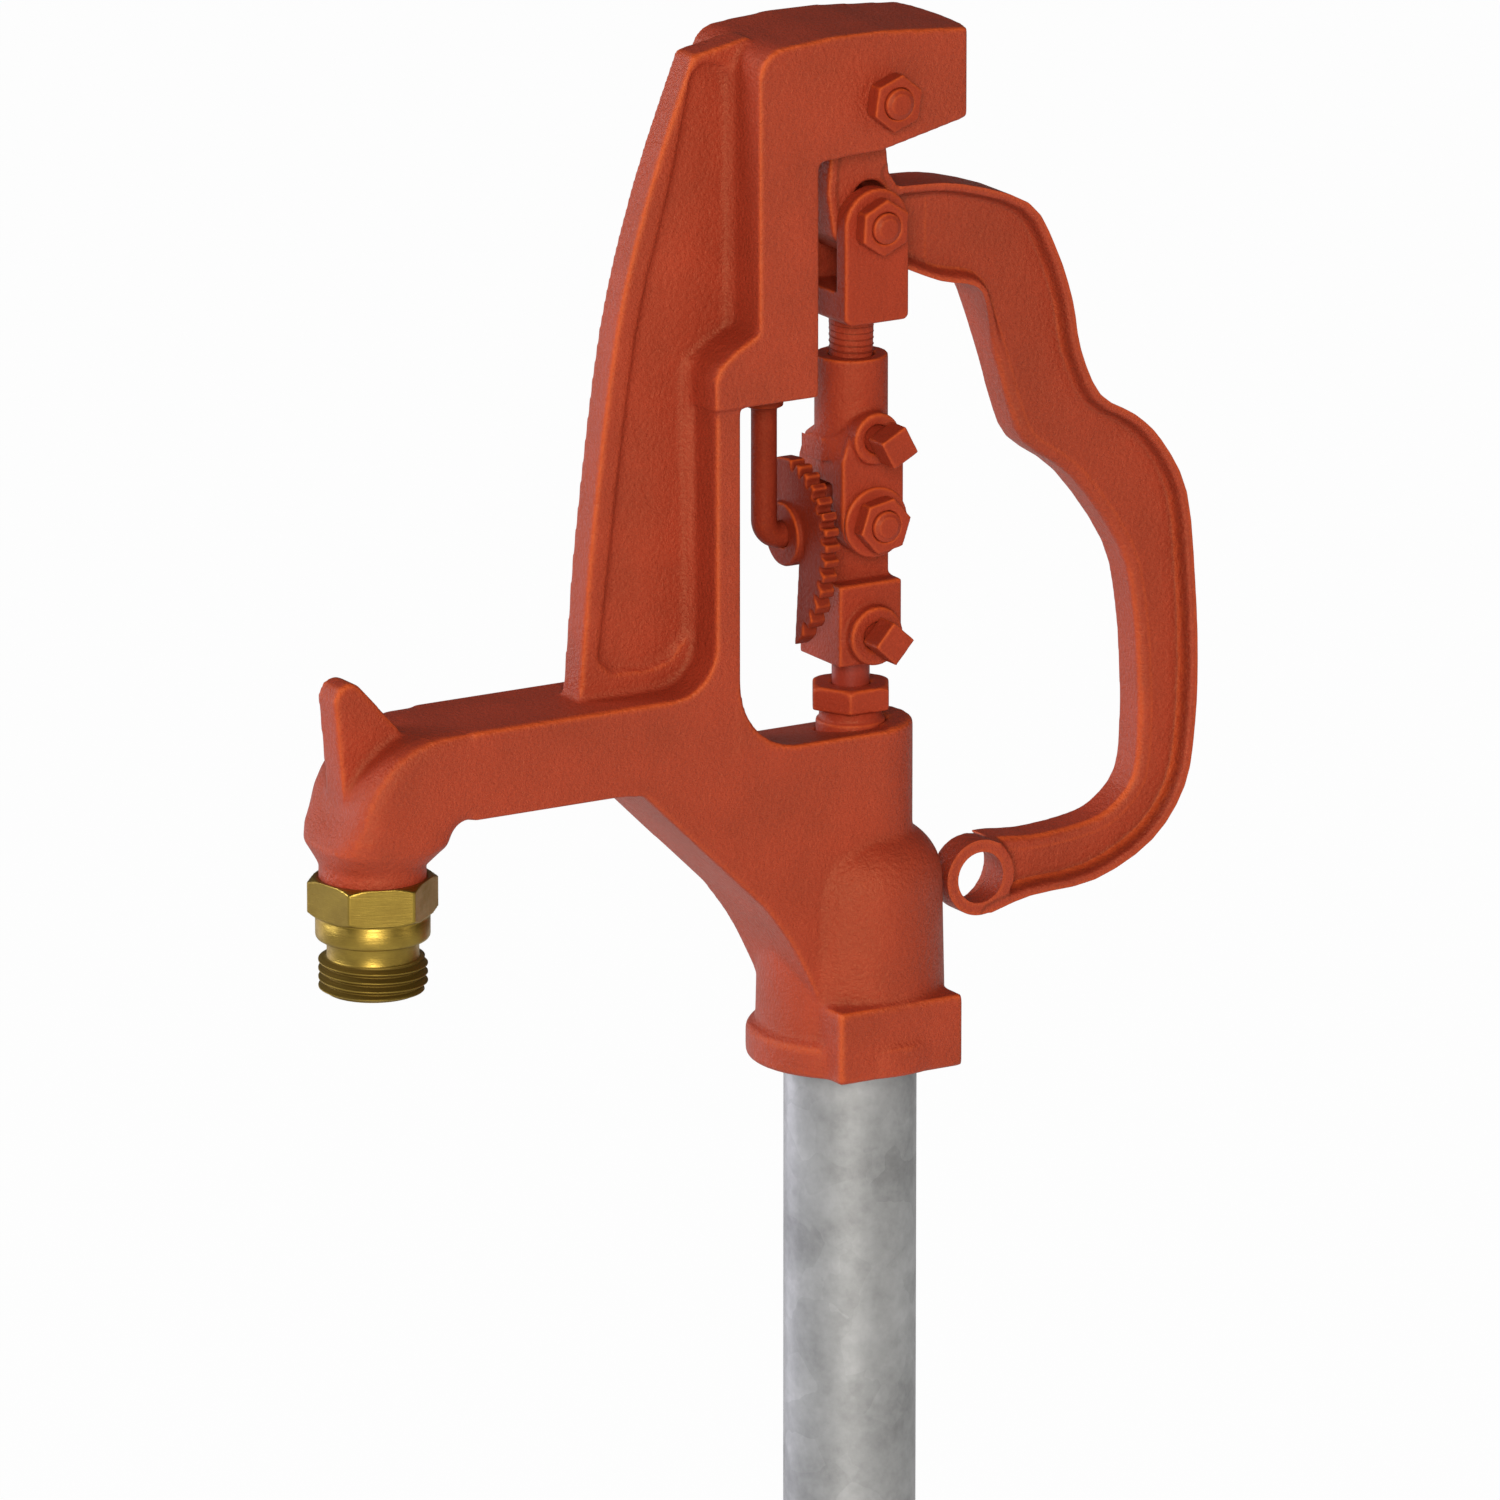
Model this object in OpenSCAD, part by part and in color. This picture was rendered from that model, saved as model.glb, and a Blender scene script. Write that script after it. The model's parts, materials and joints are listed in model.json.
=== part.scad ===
// Frost-free yard hydrant. Millimetres, Z up.
// The origin is the centre of the inlet face at the foot of the buried valve body.
// The spout points to -X, the hand lever hangs on +X and the nuts face -Y.
// Shapes of the head and linkage are drawn from the underside of the head casting.

/* [Stand] */
// Length of riser between the ground line and the head casting
stand_height = 585; // [400:5:1200]
// Depth from the ground line down to the inlet face
bury_depth = 305; // [250:5:900]
// Outside diameter of the riser pipe
pipe_od = 33.4; // [32:0.1:34.4]
// Wall of the riser pipe
pipe_wall = 3.4; // [2.6:0.1:4]
// Depth of riser screwed into the head
pipe_entry = 22; // [16:0.5:28]

/* [Head casting] */
// Diameter of the bottom collar
collar_d = 52.4; // [50:0.2:60]
// Height of the bottom collar
collar_h = 9; // [6:0.5:14]
// Diameter of the neck above the collar
neck_d = 47.6; // [46:0.2:49.6]
// Diameter of the neck under the shoulder
neck_top_d = 46; // [43:0.2:46.4]
// Height at which the shoulder starts
neck_h = 46; // [40:0.5:52]
// Radius of the rounded shoulder
shoulder_r = 14.4; // [12:0.2:18]
// Width of the wrench block
boss_w = 36; // [28:0.5:44]
// Depth of the wrench block from face to face
boss_depth = 50; // [48.5:0.5:60]
// Height of the wrench block
boss_h = 18.6; // [12:0.2:30]
// Thickness of the body plate and spout beam
body_t = 31; // [29:0.5:33]
// Height of the flat ledge that carries the packing nut
ledge_z = 87.1; // [85:0.1:89]
// Fall of the ledge from front to back
ledge_fall = 4.8; // [1:0.2:5.6]
// Height of the underside of the spout beam
spout_under = 80.6; // [78:0.2:82]
// Depth of the spout beam
spout_h = 22.6; // [21.4:0.2:26]
// Reach of the spout from the riser axis to the outlet axis
spout_reach = 137.2; // [125:0.2:165]
// Diameter of the threaded spout end
stub_d = 26.7; // [26:0.1:27.2]
// Diameter of the water passage in the spout
waterway_d = 17; // [13:0.5:17.6]
// Distance from the riser axis to the window wall
window_x = 40.8; // [38:0.2:42]
// Radius of the window's lower corner
window_r = 17; // [10:0.5:20]
// Thickness of the rib beside the window
rib_w = 7.2; // [5.6:0.2:8]
// Radius where the rib runs into the spout
rib_foot_r = 12; // [6:0.5:16]

/* [Post and arm] */
// Thickness of the post web
web_t = 9; // [7:0.2:12]
// Depth of the panel sunk in each face of the web
panel_depth = 1.5; // [0.6:0.1:2]
// Width of the web edge left around the panel
panel_edge = 5.6; // [4:0.2:8]
// Reach of the web foot behind the riser axis
web_foot_x = 81; // [74:0.5:90]
// Thickness of the arm that holds the lever
arm_t = 34; // [33.2:0.2:38]
// Height of the arm foot
arm_foot_z = 175.3; // [172:0.2:177]
// Height of the underside of the arm
arm_under_z = 234.7; // [231:0.2:235]
// Height of the top of the arm
arm_top_z = 265.9; // [264.6:0.2:270]
// Reach of the arm end in front of the riser axis
arm_reach = 26; // [22:0.2:26.4]
// Radius of the crowned arm end seen from above
arm_crown_r = 50; // [40:1:80]
// Thickness of the bail hook fin on the spout
fin_t = 11; // [7:0.2:12]
// Height of the bail hook fin above the spout
fin_h = 14; // [10:0.2:18]

/* [Lever] */
// Thickness of the hand lever
lever_t = 15; // [13:0.1:15.2]
// Reach of the grip from the lever pin
lever_reach = 97.2; // [92:0.2:115]
// Drop of the lever from its pin to its lower end
lever_drop = 216.1; // [205:0.5:225]
// Depth of the sunk faces of the lever
lever_panel = 1.2; // [0.4:0.1:2]
// Width of the raised rim of the lever
lever_rim = 3.6; // [2.6:0.1:4.4]
// Outside diameter of the padlock eye
eye_d = 19.6; // [18:0.2:22]
// Diameter of the padlock hole
eye_hole_d = 13.2; // [9:0.2:14]
// Thickness of the padlock eye
eye_t = 8; // [6:0.2:12]
// Height of the lever pin above the head underside
lever_pin_z = 248; // [247:0.1:248.6]
// Offset of the lever pin past the riser axis
lever_pin_x = 0.5; // [0:0.1:1.5]
// Swing of the lever from shut to open
lever_swing = 62; // [40:1:62]

/* [Linkage] */
// Distance from the lever pin down to the fork pin
crank_len = 32.4; // [30:0.1:33]
// Distance from the fork pin down to the clamp pin
link_len = 75.8; // [75:0.1:77]
// Diameter of the lever bolt
lever_bolt_d = 8; // [7:0.1:8.6]
// Diameter of the fork and clamp bolts
link_bolt_d = 7.9; // [6.5:0.1:8.4]
// Width across the flats of the lever nut
lever_nut_af = 12.7; // [12:0.1:14.4]
// Width across the flats of the link nuts
link_nut_af = 12.7; // [12:0.1:14]
// Radius of the fork ears
fork_r = 9.2; // [8:0.1:9.2]
// Thickness of each fork ear
fork_ear_t = 4.8; // [4:0.1:5.2]
// Depth of the fork slot below its pin
fork_slot = 17; // [15:0.2:18]
// Diameter of the threaded fork stud
stud_d = 11.3; // [10:0.1:12]
// Outside diameter of the link sleeve
sleeve_d = 18.3; // [17:0.1:18.4]
// Depth of the sleeve's lower clevis from front to back
clevis_depth = 21.6; // [20.4:0.2:22]
// Thickness of the clamp tongue
tongue_t = 9.6; // [8:0.1:10.2]
// Width across the flats of the square screw heads
screw_af = 7.9; // [7:0.1:8.4]
// Side of the rod clamp block seen from the front
clamp_w = 18; // [16.4:0.1:18.2]
// Depth of the rod clamp block
clamp_depth = 19.5; // [18:0.1:20]
// Height of the rod clamp block
clamp_h = 20.8; // [18:0.1:22]
// Diameter of the set screw bosses
clamp_boss_d = 15; // [13:0.1:16]

/* [Flow selector] */
// Radius of the stepped selector rim
cam_r = 19.2; // [17:0.1:19.5]
// Thickness of the selector plate
cam_t = 4.4; // [3.6:0.1:5]
// Number of teeth on the selector rim
cam_teeth = 13; // [8:1:15]
// Depth of the gaps between the selector teeth
tooth_depth = 2.2; // [1:0.1:2.6]
// Greatest radius of the selector tail
cam_tail_r = 28; // [26.6:0.1:29]
// Diameter of the selector hub
cam_hub_d = 16.2; // [14:0.1:17]
// Diameter of the bent rod that carries the selector
cam_rod_d = 6.5; // [5.5:0.1:7]
// Distance of the bent rod behind the riser axis
cam_rod_x = 25.2; // [24.8:0.1:26]

/* [Packing] */
// Width across the flats of the packing nut
packing_af = 19; // [17:0.1:22]
// Height of the packing nut's hexagon
packing_hex_h = 6.1; // [5:0.1:6.4]
// Diameter of the packing chamber
packing_d = 17.6; // [16:0.1:18.4]
// Depth of the packing chamber
packing_depth = 17; // [15:0.5:19]

/* [Operating rod] */
// Diameter of the operating rod
rod_d = 9.52; // [8.5:0.02:10]
// Diameter of the rod coupling
coupling_d = 16; // [14:0.2:18]
// Length of the rod coupling
coupling_h = 38; // [30:1:50]
// Height of the rod coupling above the inlet
coupling_z = 430; // [300:5:500]
// Height of the rod guide above the inlet
guide_z = 640; // [500:5:700]

/* [Nozzle] */
// Width across the flats of the nozzle hexagon
nozzle_af = 28.4; // [28:0.1:31]
// Height of the nozzle hexagon
nozzle_hex_h = 9.4; // [7:0.1:11]
// Diameter of the hose thread
hose_thread_d = 27; // [26.4:0.1:27.4]
// Length of the hose thread
hose_thread_h = 8.9; // [8:0.1:14]
// Diameter of the bore through the nozzle
nozzle_bore_d = 18; // [15:0.2:19.6]

/* [Buried valve] */
// Outside diameter of the valve body
valve_d = 44; // [43:0.5:52]
// Width across the flats of the inlet hexagon
valve_af = 41; // [39:0.5:46]
// Diameter of the inlet thread
inlet_d = 24.6; // [24:0.1:25.4]
// Height of the sealing face above the inlet
seat_z = 32; // [30:0.5:34]
// Diameter of the hole through the valve seat
seat_hole_d = 14; // [10:0.5:15]
// Diameter of the bore in which the plunger slides
chamber_d = 26; // [25:0.1:26.6]
// Diameter of the drain hole
drain_d = 4.6; // [3:0.1:5]

/* [Hidden] */
$fn = 48;

// radial play between pieces that turn or slide on one another
run = 0.05;
// gap between flat faces that slide past one another
play = 0.2;
// extra length so that cuts pass right through
over = 1;

iron = [0.66, 0.22, 0.13];
brass = [0.72, 0.58, 0.25];
zinc = [0.66, 0.68, 0.70];
steel = [0.55, 0.56, 0.58];
black = [0.10, 0.10, 0.10];
nylon = [0.85, 0.84, 0.80];
rubber_color = [0.12, 0.12, 0.12];

head_z = bury_depth + stand_height;
half_body = body_t / 2;
spout_top = spout_under + spout_h;
rib_x = window_x + rib_w;
p1 = [lever_pin_x, lever_pin_z];
p2 = [0, lever_pin_z - crank_len];
p3 = [0, lever_pin_z - crank_len - link_len];

// place of the fork pin when the lever is fully open, and the travel that follows from it
arm_start = p2 - p1;
p2_open = p1 + [arm_start[0] * cos(lever_swing) - arm_start[1] * sin(lever_swing),
                arm_start[0] * sin(lever_swing) + arm_start[1] * cos(lever_swing)];
link_tilt = asin(p2_open[0] / link_len);
rod_lift = p2_open[1] - link_len * cos(link_tilt) - p3[1];

cam_x0 = -18.8;
cam_x1 = cam_x0 + cam_t;
cam_z = p3[1] - 3;
lug_z = p3[1] + 17;

// points on an arc, angles in degrees
function arc(cx, cy, r, a0, a1, n = 8) =
    [for (i = [0 : n]) [cx + r * cos(a0 + (a1 - a0) * i / n), cy + r * sin(a0 + (a1 - a0) * i / n)]];

// one point of a smooth curve through b and c
function knot(a, b, c, d, t) =
    0.5 * (2 * b + (c - a) * t + (2 * a - 5 * b + 4 * c - d) * t * t
           + (3 * b - a - 3 * c + d) * t * t * t);

// smooth curve through a list of points
function curve(p, n = 4) =
    [for (i = [0 : len(p) - 2]) for (k = [0 : n - 1])
        knot(p[max(i - 1, 0)], p[i], p[i + 1], p[min(i + 2, len(p) - 1)], k / n),
     p[len(p) - 1]];

module at_head() {
    translate([0, 0, head_z]) children();
}

// flat shape drawn in X and Z, given thickness along Y
module slab(y0, y1) {
    translate([0, y1, 0]) rotate([90, 0, 0]) linear_extrude(y1 - y0) children();
}

// flat shape drawn in Y and Z, given thickness along X
module side_slab(x0, x1) {
    translate([x0, 0, 0]) rotate([90, 0, 90]) linear_extrude(x1 - x0) children();
}

// round bar along Y
module bar_y(c, d, y0, y1) {
    translate([c[0], y1, c[1]]) rotate([90, 0, 0]) cylinder(d = d, h = y1 - y0);
}

// hexagonal bar along Y with one flat edge turned by a given angle
module hex_y(c, af, y0, y1, turn) {
    translate([c[0], y1, c[1]]) rotate([90, 0, 0]) rotate([0, 0, turn])
        cylinder(d = af / cos(30), h = y1 - y0, $fn = 6);
}

// hexagon with rounded-off corners on its outer face
module chamfered_hex_y(c, af, y0, y1, turn) {
    intersection() {
        hex_y(c, af, y0, y1, turn);
        translate([c[0], y1, c[1]]) rotate([90, 0, 0])
            cylinder(d1 = af / cos(30) + 0.8 + 2 * (y1 - y0), d2 = af * 1.02, h = y1 - y0);
    }
}

// head casting

shoulder_c = neck_top_d / 2 - shoulder_r;
shoulder_a = acos((half_body - shoulder_c) / shoulder_r);

module neck_turning() {
    rotate_extrude($fn = 72)
        polygon(concat(
            [[0, 0], [collar_d / 2 - 0.8, 0], [collar_d / 2, 0.8], [collar_d / 2, collar_h - 1.4],
             [collar_d / 2 - 1.4, collar_h], [neck_d / 2, collar_h]],
            arc(shoulder_c, neck_h, shoulder_r, 0, shoulder_a, 7),
            [[half_body, ledge_z], [0, ledge_z]]));
}

module body_plate_shape() {
    brace = spout_under - 0.6;
    polygon(concat(
        [[0, 19], [-18.4, 19.5]],
        curve([[-19.6, 22.4], [-24, 31.3], [-28.1, 38.1], [-34, 46]], 3),
        [[-34 - (brace - 46) * 1.03, brace]],
        [[-34 - (brace - 46) * 1.03 - 9, spout_under], [-elbow_x, spout_under], [-elbow_x, spout_top]],
        arc(-rib_x - rib_foot_r, spout_top + rib_foot_r, rib_foot_r, -90, 0, 8),
        [[-rib_x, arm_foot_z + 4], [-window_x, arm_foot_z + 4]],
        arc(-window_x + window_r, ledge_z + window_r, window_r, 180, 270, 8),
        [[0, ledge_z]]));
}

module body_plate() {
    slab(-half_body, half_body) body_plate_shape();
}

// the ledge falls towards the back and stays level round the right half of the packing chamber
ledge_low = ledge_z - ledge_fall;

module ledge_cut() {
    intersection() {
        side_slab(-window_x, 3)
            polygon([[-half_body - over, ledge_z + 0.1], [half_body + over, ledge_low],
                     [half_body + over, ledge_z + 25], [-half_body - over, ledge_z + 25]]);
        slab(-half_body - 2 * over, half_body + 2 * over) polygon(concat(
            arc(-window_x + window_r, ledge_low + window_r - 0.1, window_r, 180, 270, 8),
            [[3 + over, ledge_low - 0.1], [3 + over, ledge_z + 30], [-window_x, ledge_z + 30]]));
    }
}

// the spout beam turns down through sections that change from a box to a circle
elbow_x = spout_reach - 20;
elbow_in_r = 4.6;
elbow_out_r = 20.3;
elbow_in = [-elbow_x - 0.1, spout_under - elbow_in_r];
elbow_out = [-spout_reach + 12.6, spout_top - elbow_out_r];
stub_top = 69.2;

function elbow_ends(t) = [elbow_in + elbow_in_r * [-sin(t), cos(t)],
                          elbow_out + (elbow_out_r + 3.6 * pow(t / 90, 2.2)) * [-sin(t), cos(t)]];

// each row: inner end, outer end, half width, squareness
elbow_rows = concat(
    [[[-elbow_x + 3, spout_under + 0.02], [-elbow_x + 3, spout_top - 0.02], half_body - 0.02, 16]],
    [for (i = [0 : 7]) let (t = i * 90 / 7, e = elbow_ends(t))
        [e[0], e[1], half_body - 0.01, 14 - 7.6 * pow(i / 7, 0.8)]],
    [[[-spout_reach + 15.4, 74.6], [-spout_reach - 13.5, 78.8], half_body - 0.02, 5],
     [[-spout_reach + 15.4, 73.4], [-spout_reach - 15.3, 75.2], half_body - 0.1, 3.2],
     [[-spout_reach + 13.1, stub_top], [-spout_reach - 13.1, stub_top], stub_d / 2 - 0.2, 2],
     [[-spout_reach + 13.1, stub_top - 2], [-spout_reach - 13.1, stub_top - 2], stub_d / 2 - 0.2, 2]]);

function ring_point(row, a) =
    let (mid = (row[0] + row[1]) / 2, half = (row[1] - row[0]) / 2,
         c = cos(a), s = sin(a), q = pow(pow(abs(c), row[3]) + pow(abs(s), row[3]), -1 / row[3]))
    [mid[0] + half[0] * c * q, row[2] * s * q, mid[1] + half[1] * c * q];

module elbow() {
    n = 40;
    m = len(elbow_rows);
    last = m - 1;
    ends = [for (row = [elbow_rows[0], elbow_rows[last]])
        [(row[0][0] + row[1][0]) / 2, 0, (row[0][1] + row[1][1]) / 2]];
    polyhedron(
        points = concat([for (row = elbow_rows) for (j = [0 : n - 1]) ring_point(row, 360 * j / n)],
                        ends),
        faces = concat(
            [for (j = [0 : n - 1]) [m * n, j, (j + 1) % n]],
            [for (i = [0 : m - 2]) for (j = [0 : n - 1])
                [i * n + j, (i + 1) * n + (j + 1) % n, i * n + (j + 1) % n]],
            [for (i = [0 : m - 2]) for (j = [0 : n - 1])
                [i * n + j, (i + 1) * n + j, (i + 1) * n + (j + 1) % n]],
            [for (j = [0 : n - 1]) [m * n + 1, last * n + (j + 1) % n, last * n + j]]));
}

module fin_shape() {
    x = spout_reach;
    polygon([[-x - 4, spout_top - 22], [-x - 10.2, spout_top - 17.8], [-x - 12.8, spout_top + fin_h - 4.2],
             [-x - 11.3, spout_top + fin_h - 1.2], [-x - 8.3, spout_top + fin_h],
             [-x - 5.8, spout_top + fin_h - 1.1], [-x + 5.5, spout_top + 0.2], [-x + 10, spout_top - 8]]);
}

web_edge = curve([[-web_foot_x, spout_top - 3], [-web_foot_x + 1.7, spout_top + 17],
                  [-76.9, 146], [-70, 195], [-60.5, 230], [-48, arm_top_z - 3.4]], 4);

module web_shape() {
    polygon(concat(web_edge, [[-32, arm_top_z - 0.5], [-32, 184], [-rib_x + 2, 184],
                              [-rib_x + 2, spout_top - 3]]));
}

module panel_shape() {
    polygon(concat(
        [[-web_foot_x + panel_edge + 4, spout_top + 6], [-web_foot_x + panel_edge, spout_top + 10]],
        curve([[-76.9 + panel_edge, 146], [-70 + panel_edge, 195], [-60.5 + panel_edge, 230],
               [-48.6, arm_top_z - 8]], 3),
        [[-45, arm_top_z - 5.4], [-40, arm_top_z - 6.2], [-37.6, arm_top_z - 9], [-37.4, 193],
         [-44, 189.4], [-rib_x - 1.8, 185.4], [-rib_x - 2.2, 181], [-rib_x - 1.2, spout_top + 14],
         [-rib_x - 7, spout_top + 7], [-rib_x - 13, spout_top + 5.6]]));
}

arm_left = 36.5;
foot_right = 19.4;
arm_end_low = 241.7;

module arm_shape() {
    polygon(concat(
        [[-rib_x - 1, arm_foot_z], [-foot_right, arm_foot_z]],
        arc(-foot_right + 1.6, arm_under_z - 1.6, 1.6, 180, 90, 3),
        [[-1.2, arm_under_z + 0.7], [20.4, arm_end_low - 1.4], [arm_reach + 2, arm_end_low + 0.4],
         [arm_reach + 2, arm_top_z - 2.6], [0, arm_top_z - 0.2], [-14.5, arm_top_z]],
        arc(-arm_left + 7.5, arm_top_z - 8.6, 7.5, 100, 180, 5),
        [[-arm_left, 193.5], [-42.8, 190.1], [-rib_x + 0.4, 186.4], [-rib_x - 1, 183.4]]));
}

module arm() {
    intersection() {
        slab(-arm_t / 2, arm_t / 2) arm_shape();
        translate([arm_reach - arm_crown_r, 0, arm_foot_z - 5])
            cylinder(r = arm_crown_r, h = arm_top_z - arm_foot_z + 10, $fn = 120);
    }
}

slot_left = 13;
slot_top = p1[1] + 10.5;

module head_cuts() {
    // riser socket, waterway and packing chamber
    translate([0, 0, -over]) cylinder(d = pipe_od + 2 * run, h = pipe_entry + over);
    translate([0, 0, pipe_entry - over]) cylinder(d = pipe_od - 2 * pipe_wall, h = 34 + over);
    translate([-3, 0, neck_h + 8]) rotate([0, -59, 0]) cylinder(d = waterway_d, h = 73.5);
    translate([-65, 0, spout_under + spout_h / 2]) rotate([0, -90, 0])
        cylinder(d = waterway_d, h = spout_reach - 71);
    translate([-spout_reach, 0, 50]) cylinder(d = waterway_d + 0.8, h = spout_under - 47);
    translate([-spout_reach, 0, spout_under + 3]) sphere(d = waterway_d + 0.79);
    translate([0, 0, 54]) cylinder(d = rod_d + 1, h = ledge_z - 54);
    translate([0, 0, ledge_z - packing_depth]) cylinder(d = packing_d, h = packing_depth + over);
    // slot for the lever and hole for its bolt
    translate([-slot_left, -lever_t / 2 - 0.5, arm_under_z - 12])
        cube([60, lever_t + 1, slot_top - arm_under_z + 12]);
    bar_y(p1, lever_bolt_d + 2 * run, -arm_t, arm_t);
    // blind hole for the bent rod
    translate([-cam_rod_x, 0, arm_foot_z - over]) cylinder(d = cam_rod_d + 2 * run, h = 14 + over);
    // sunk panels in the web
    slab(-web_t, -web_t / 2 + panel_depth) panel_shape();
    slab(web_t / 2 - panel_depth, web_t) panel_shape();
}

module head() {
    color(iron) at_head() difference() {
        union() {
            neck_turning();
            translate([-boss_w / 2, -boss_depth / 2, 0]) cube([boss_w, boss_depth / 2, boss_h]);
            body_plate();
            arm();
            slab(-web_t / 2, web_t / 2) web_shape();
            slab(-fin_t / 2, fin_t / 2) fin_shape();
            elbow();
            translate([-spout_reach, 0, 55]) cylinder(d = stub_d, h = stub_top - 55.8);
        }
        head_cuts();
        ledge_cut();
    }
}

// nozzle

nozzle_top = 66.2;
ring_top = nozzle_top - nozzle_hex_h;
ring_low = ring_top - 6.3;
thread_top = ring_low - 4.7;
thread_low = thread_top - hose_thread_h;

module nozzle() {
    color(brass) at_head() translate([-spout_reach, 0, 0]) difference() {
        union() {
            intersection() {
                translate([0, 0, ring_top]) rotate([0, 0, 39.4])
                    cylinder(d = nozzle_af / cos(30), h = nozzle_hex_h, $fn = 6);
                translate([0, 0, ring_top])
                    cylinder(d1 = nozzle_af + 20, d2 = nozzle_af * 1.03, h = nozzle_hex_h + 0.01);
            }
            rotate_extrude() polygon(concat(
                [[0, thread_low], [hose_thread_d / 2 - 1, thread_low], [hose_thread_d / 2, thread_low + 1],
                 [hose_thread_d / 2, thread_top], [11.4, thread_top], [11.4, ring_low]],
                arc(nozzle_af / 2 - 2, ring_low + 2, 2, -90, 0, 4),
                [[nozzle_af / 2, ring_top], [0, ring_top]]));
        }
        translate([0, 0, 54.6]) cylinder(d = stub_d + 2 * run, h = 20);
        translate([0, 0, thread_low - over]) cylinder(d = nozzle_bore_d, h = 30);
    }
}

// lever and its bolt

arm_face = arm_t / 2;

module lever_bolt() {
    color(steel) at_head() union() {
        bar_y(p1, lever_bolt_d, -arm_face - 5.6, arm_face + 1);
        bar_y(p1, lever_bolt_d - 2.4, -arm_face - 6.2, -arm_face - 5);
        chamfered_hex_y(p1, lever_nut_af, arm_face, arm_face + 5.4, 12);
    }
}

module lever_nut() {
    color(steel) at_head() difference() {
        mirror([0, 1, 0]) chamfered_hex_y(p1, lever_nut_af, arm_face, arm_face + 4.8, 21);
        bar_y(p1, lever_bolt_d + 2 * run, -arm_face - 10, arm_face);
    }
}

function lever_at(p) = [p1[0] + p[0] * lever_reach / 97.2, p1[1] + p[1] * lever_drop / 216.1];
function lever_list(list) = [for (p = list) lever_at(p)];

lever_outer = lever_list(curve([
    [2, -25], [13.5, -25], [27.3, -26.5], [46.5, -33.6], [54.5, -46], [59.5, -60], [62, -73],
    [67.9, -85.5], [78.1, -91.9], [86, -99.6], [93.6, -114], [96.3, -138], [97.2, -158],
    [96.5, -175], [93.6, -190.5], [84, -203.2], [67, -211.2], [48, -212.6], [36, -215.5]], 3));

lever_inner = lever_list(curve([
    [31, -200], [39.4, -197.6], [52, -198.6], [66, -197.6], [74.5, -195], [81.6, -187.5], [83.1, -174],
    [82.9, -161.8], [81.6, -145], [77.4, -127.6], [63, -107.4], [49, -96.8], [44, -86],
    [41, -76], [35.6, -60.5], [31.5, -53.2], [20.9, -50.4], [8, -44.6], [0, -40]], 3));

lever_eye = lever_at([33.2, -205.7]);

module lug_shape() {
    polygon(concat(
        arc(p2[0], p2[1], 9.2, -125, -40, 6),
        [[8.5, p2[1] + 1]],
        [[9.6, p2[1] + 7], [6.6, p2[1] + 11.4], [5.8, p2[1] + 18]],
        arc(p1[0], p1[1], 9.5, -25, 180, 12),
        [[-10.4, p2[1] + 18], [-11.2, p2[1] + 8], [-9.6, p2[1] - 3]]));
}

// room for the fork pin, which the straight-line couplings carry off its true arc
function pin_slip(k) =
    let (t = lever_swing * k, tilt = link_tilt * k,
         w = [link_len * sin(tilt), p3[1] + rod_lift * k + link_len * cos(tilt)] - p1)
    p1 + [w[0] * cos(t) + w[1] * sin(t), -w[0] * sin(t) + w[1] * cos(t)];

module pin_slot() {
    hull() for (k = [0, 0.15, 0.3, 0.42, 0.55, 0.7, 0.85])
        translate(pin_slip(k)) circle(d = link_bolt_d + 1);
}

module lever_panel_shape() {
    difference() {
        offset(delta = -lever_rim) polygon(concat(lever_outer, lever_inner));
        translate(p2 - [12, 20]) square([32, 60]);
        translate(lever_eye) circle(d = eye_d + 1);
    }
}

module handle() {
    color(iron) at_head() difference() {
        union() {
            difference() {
                slab(-lever_t / 2, lever_t / 2) polygon(concat(lever_outer, lever_inner));
                bar_y(lever_eye, eye_d - 0.2, -lever_t / 2 + eye_t - 0.1, lever_t);
            }
            slab(-lever_t / 2, lever_t / 2) lug_shape();
            bar_y(lever_eye, eye_d, -lever_t / 2, -lever_t / 2 + eye_t);
        }
        bar_y(p1, lever_bolt_d + 2 * run, -lever_t, lever_t);
        slab(-lever_t, lever_t) pin_slot();
        bar_y(lever_eye, eye_hole_d, -lever_t, lever_t);
        slab(-lever_t, -lever_t / 2 + lever_panel) lever_panel_shape();
        slab(lever_t / 2 - lever_panel, lever_t) lever_panel_shape();
    }
}

// link between lever and rod

ear_in = lever_t / 2 + play;
ear_out = ear_in + fork_ear_t;
fork_low = p2[1] - fork_slot - 8;
stud_low = p3[1] + 12.4;

module fork_shape() {
    polygon(concat(
        arc(p2[0], p2[1], fork_r, 0, 180, 16),
        [[-fork_r, fork_low + 1.2], [-fork_r + 1.6, fork_low], [fork_r - 1, fork_low],
         [fork_r, fork_low + 1]]));
}

module fork() {
    color(iron) at_head() difference() {
        union() {
            slab(-ear_out, ear_out) fork_shape();
            translate([0, 0, stud_low]) cylinder(d = stud_d, h = fork_low - stud_low + over);
        }
        slab(-ear_in, ear_in) translate([-20, p2[1] - fork_slot]) square([40, 60]);
        bar_y(p2, link_bolt_d + 2 * run, -20, 20);
    }
}

module fork_bolt() {
    color(steel) at_head() union() {
        bar_y(p2, link_bolt_d, -ear_out - 5, ear_out + 1);
        bar_y(p2, link_bolt_d - 2.4, -ear_out - 5.6, -ear_out - 4);
        chamfered_hex_y(p2, link_nut_af, ear_out, ear_out + 5.2, 5);
    }
}

module fork_nut() {
    color(steel) at_head() difference() {
        mirror([0, 1, 0]) chamfered_hex_y(p2, link_nut_af, ear_out, ear_out + 4.4, 26);
        bar_y(p2, link_bolt_d + 2 * run, -ear_out - 10, ear_out);
    }
}

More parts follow.
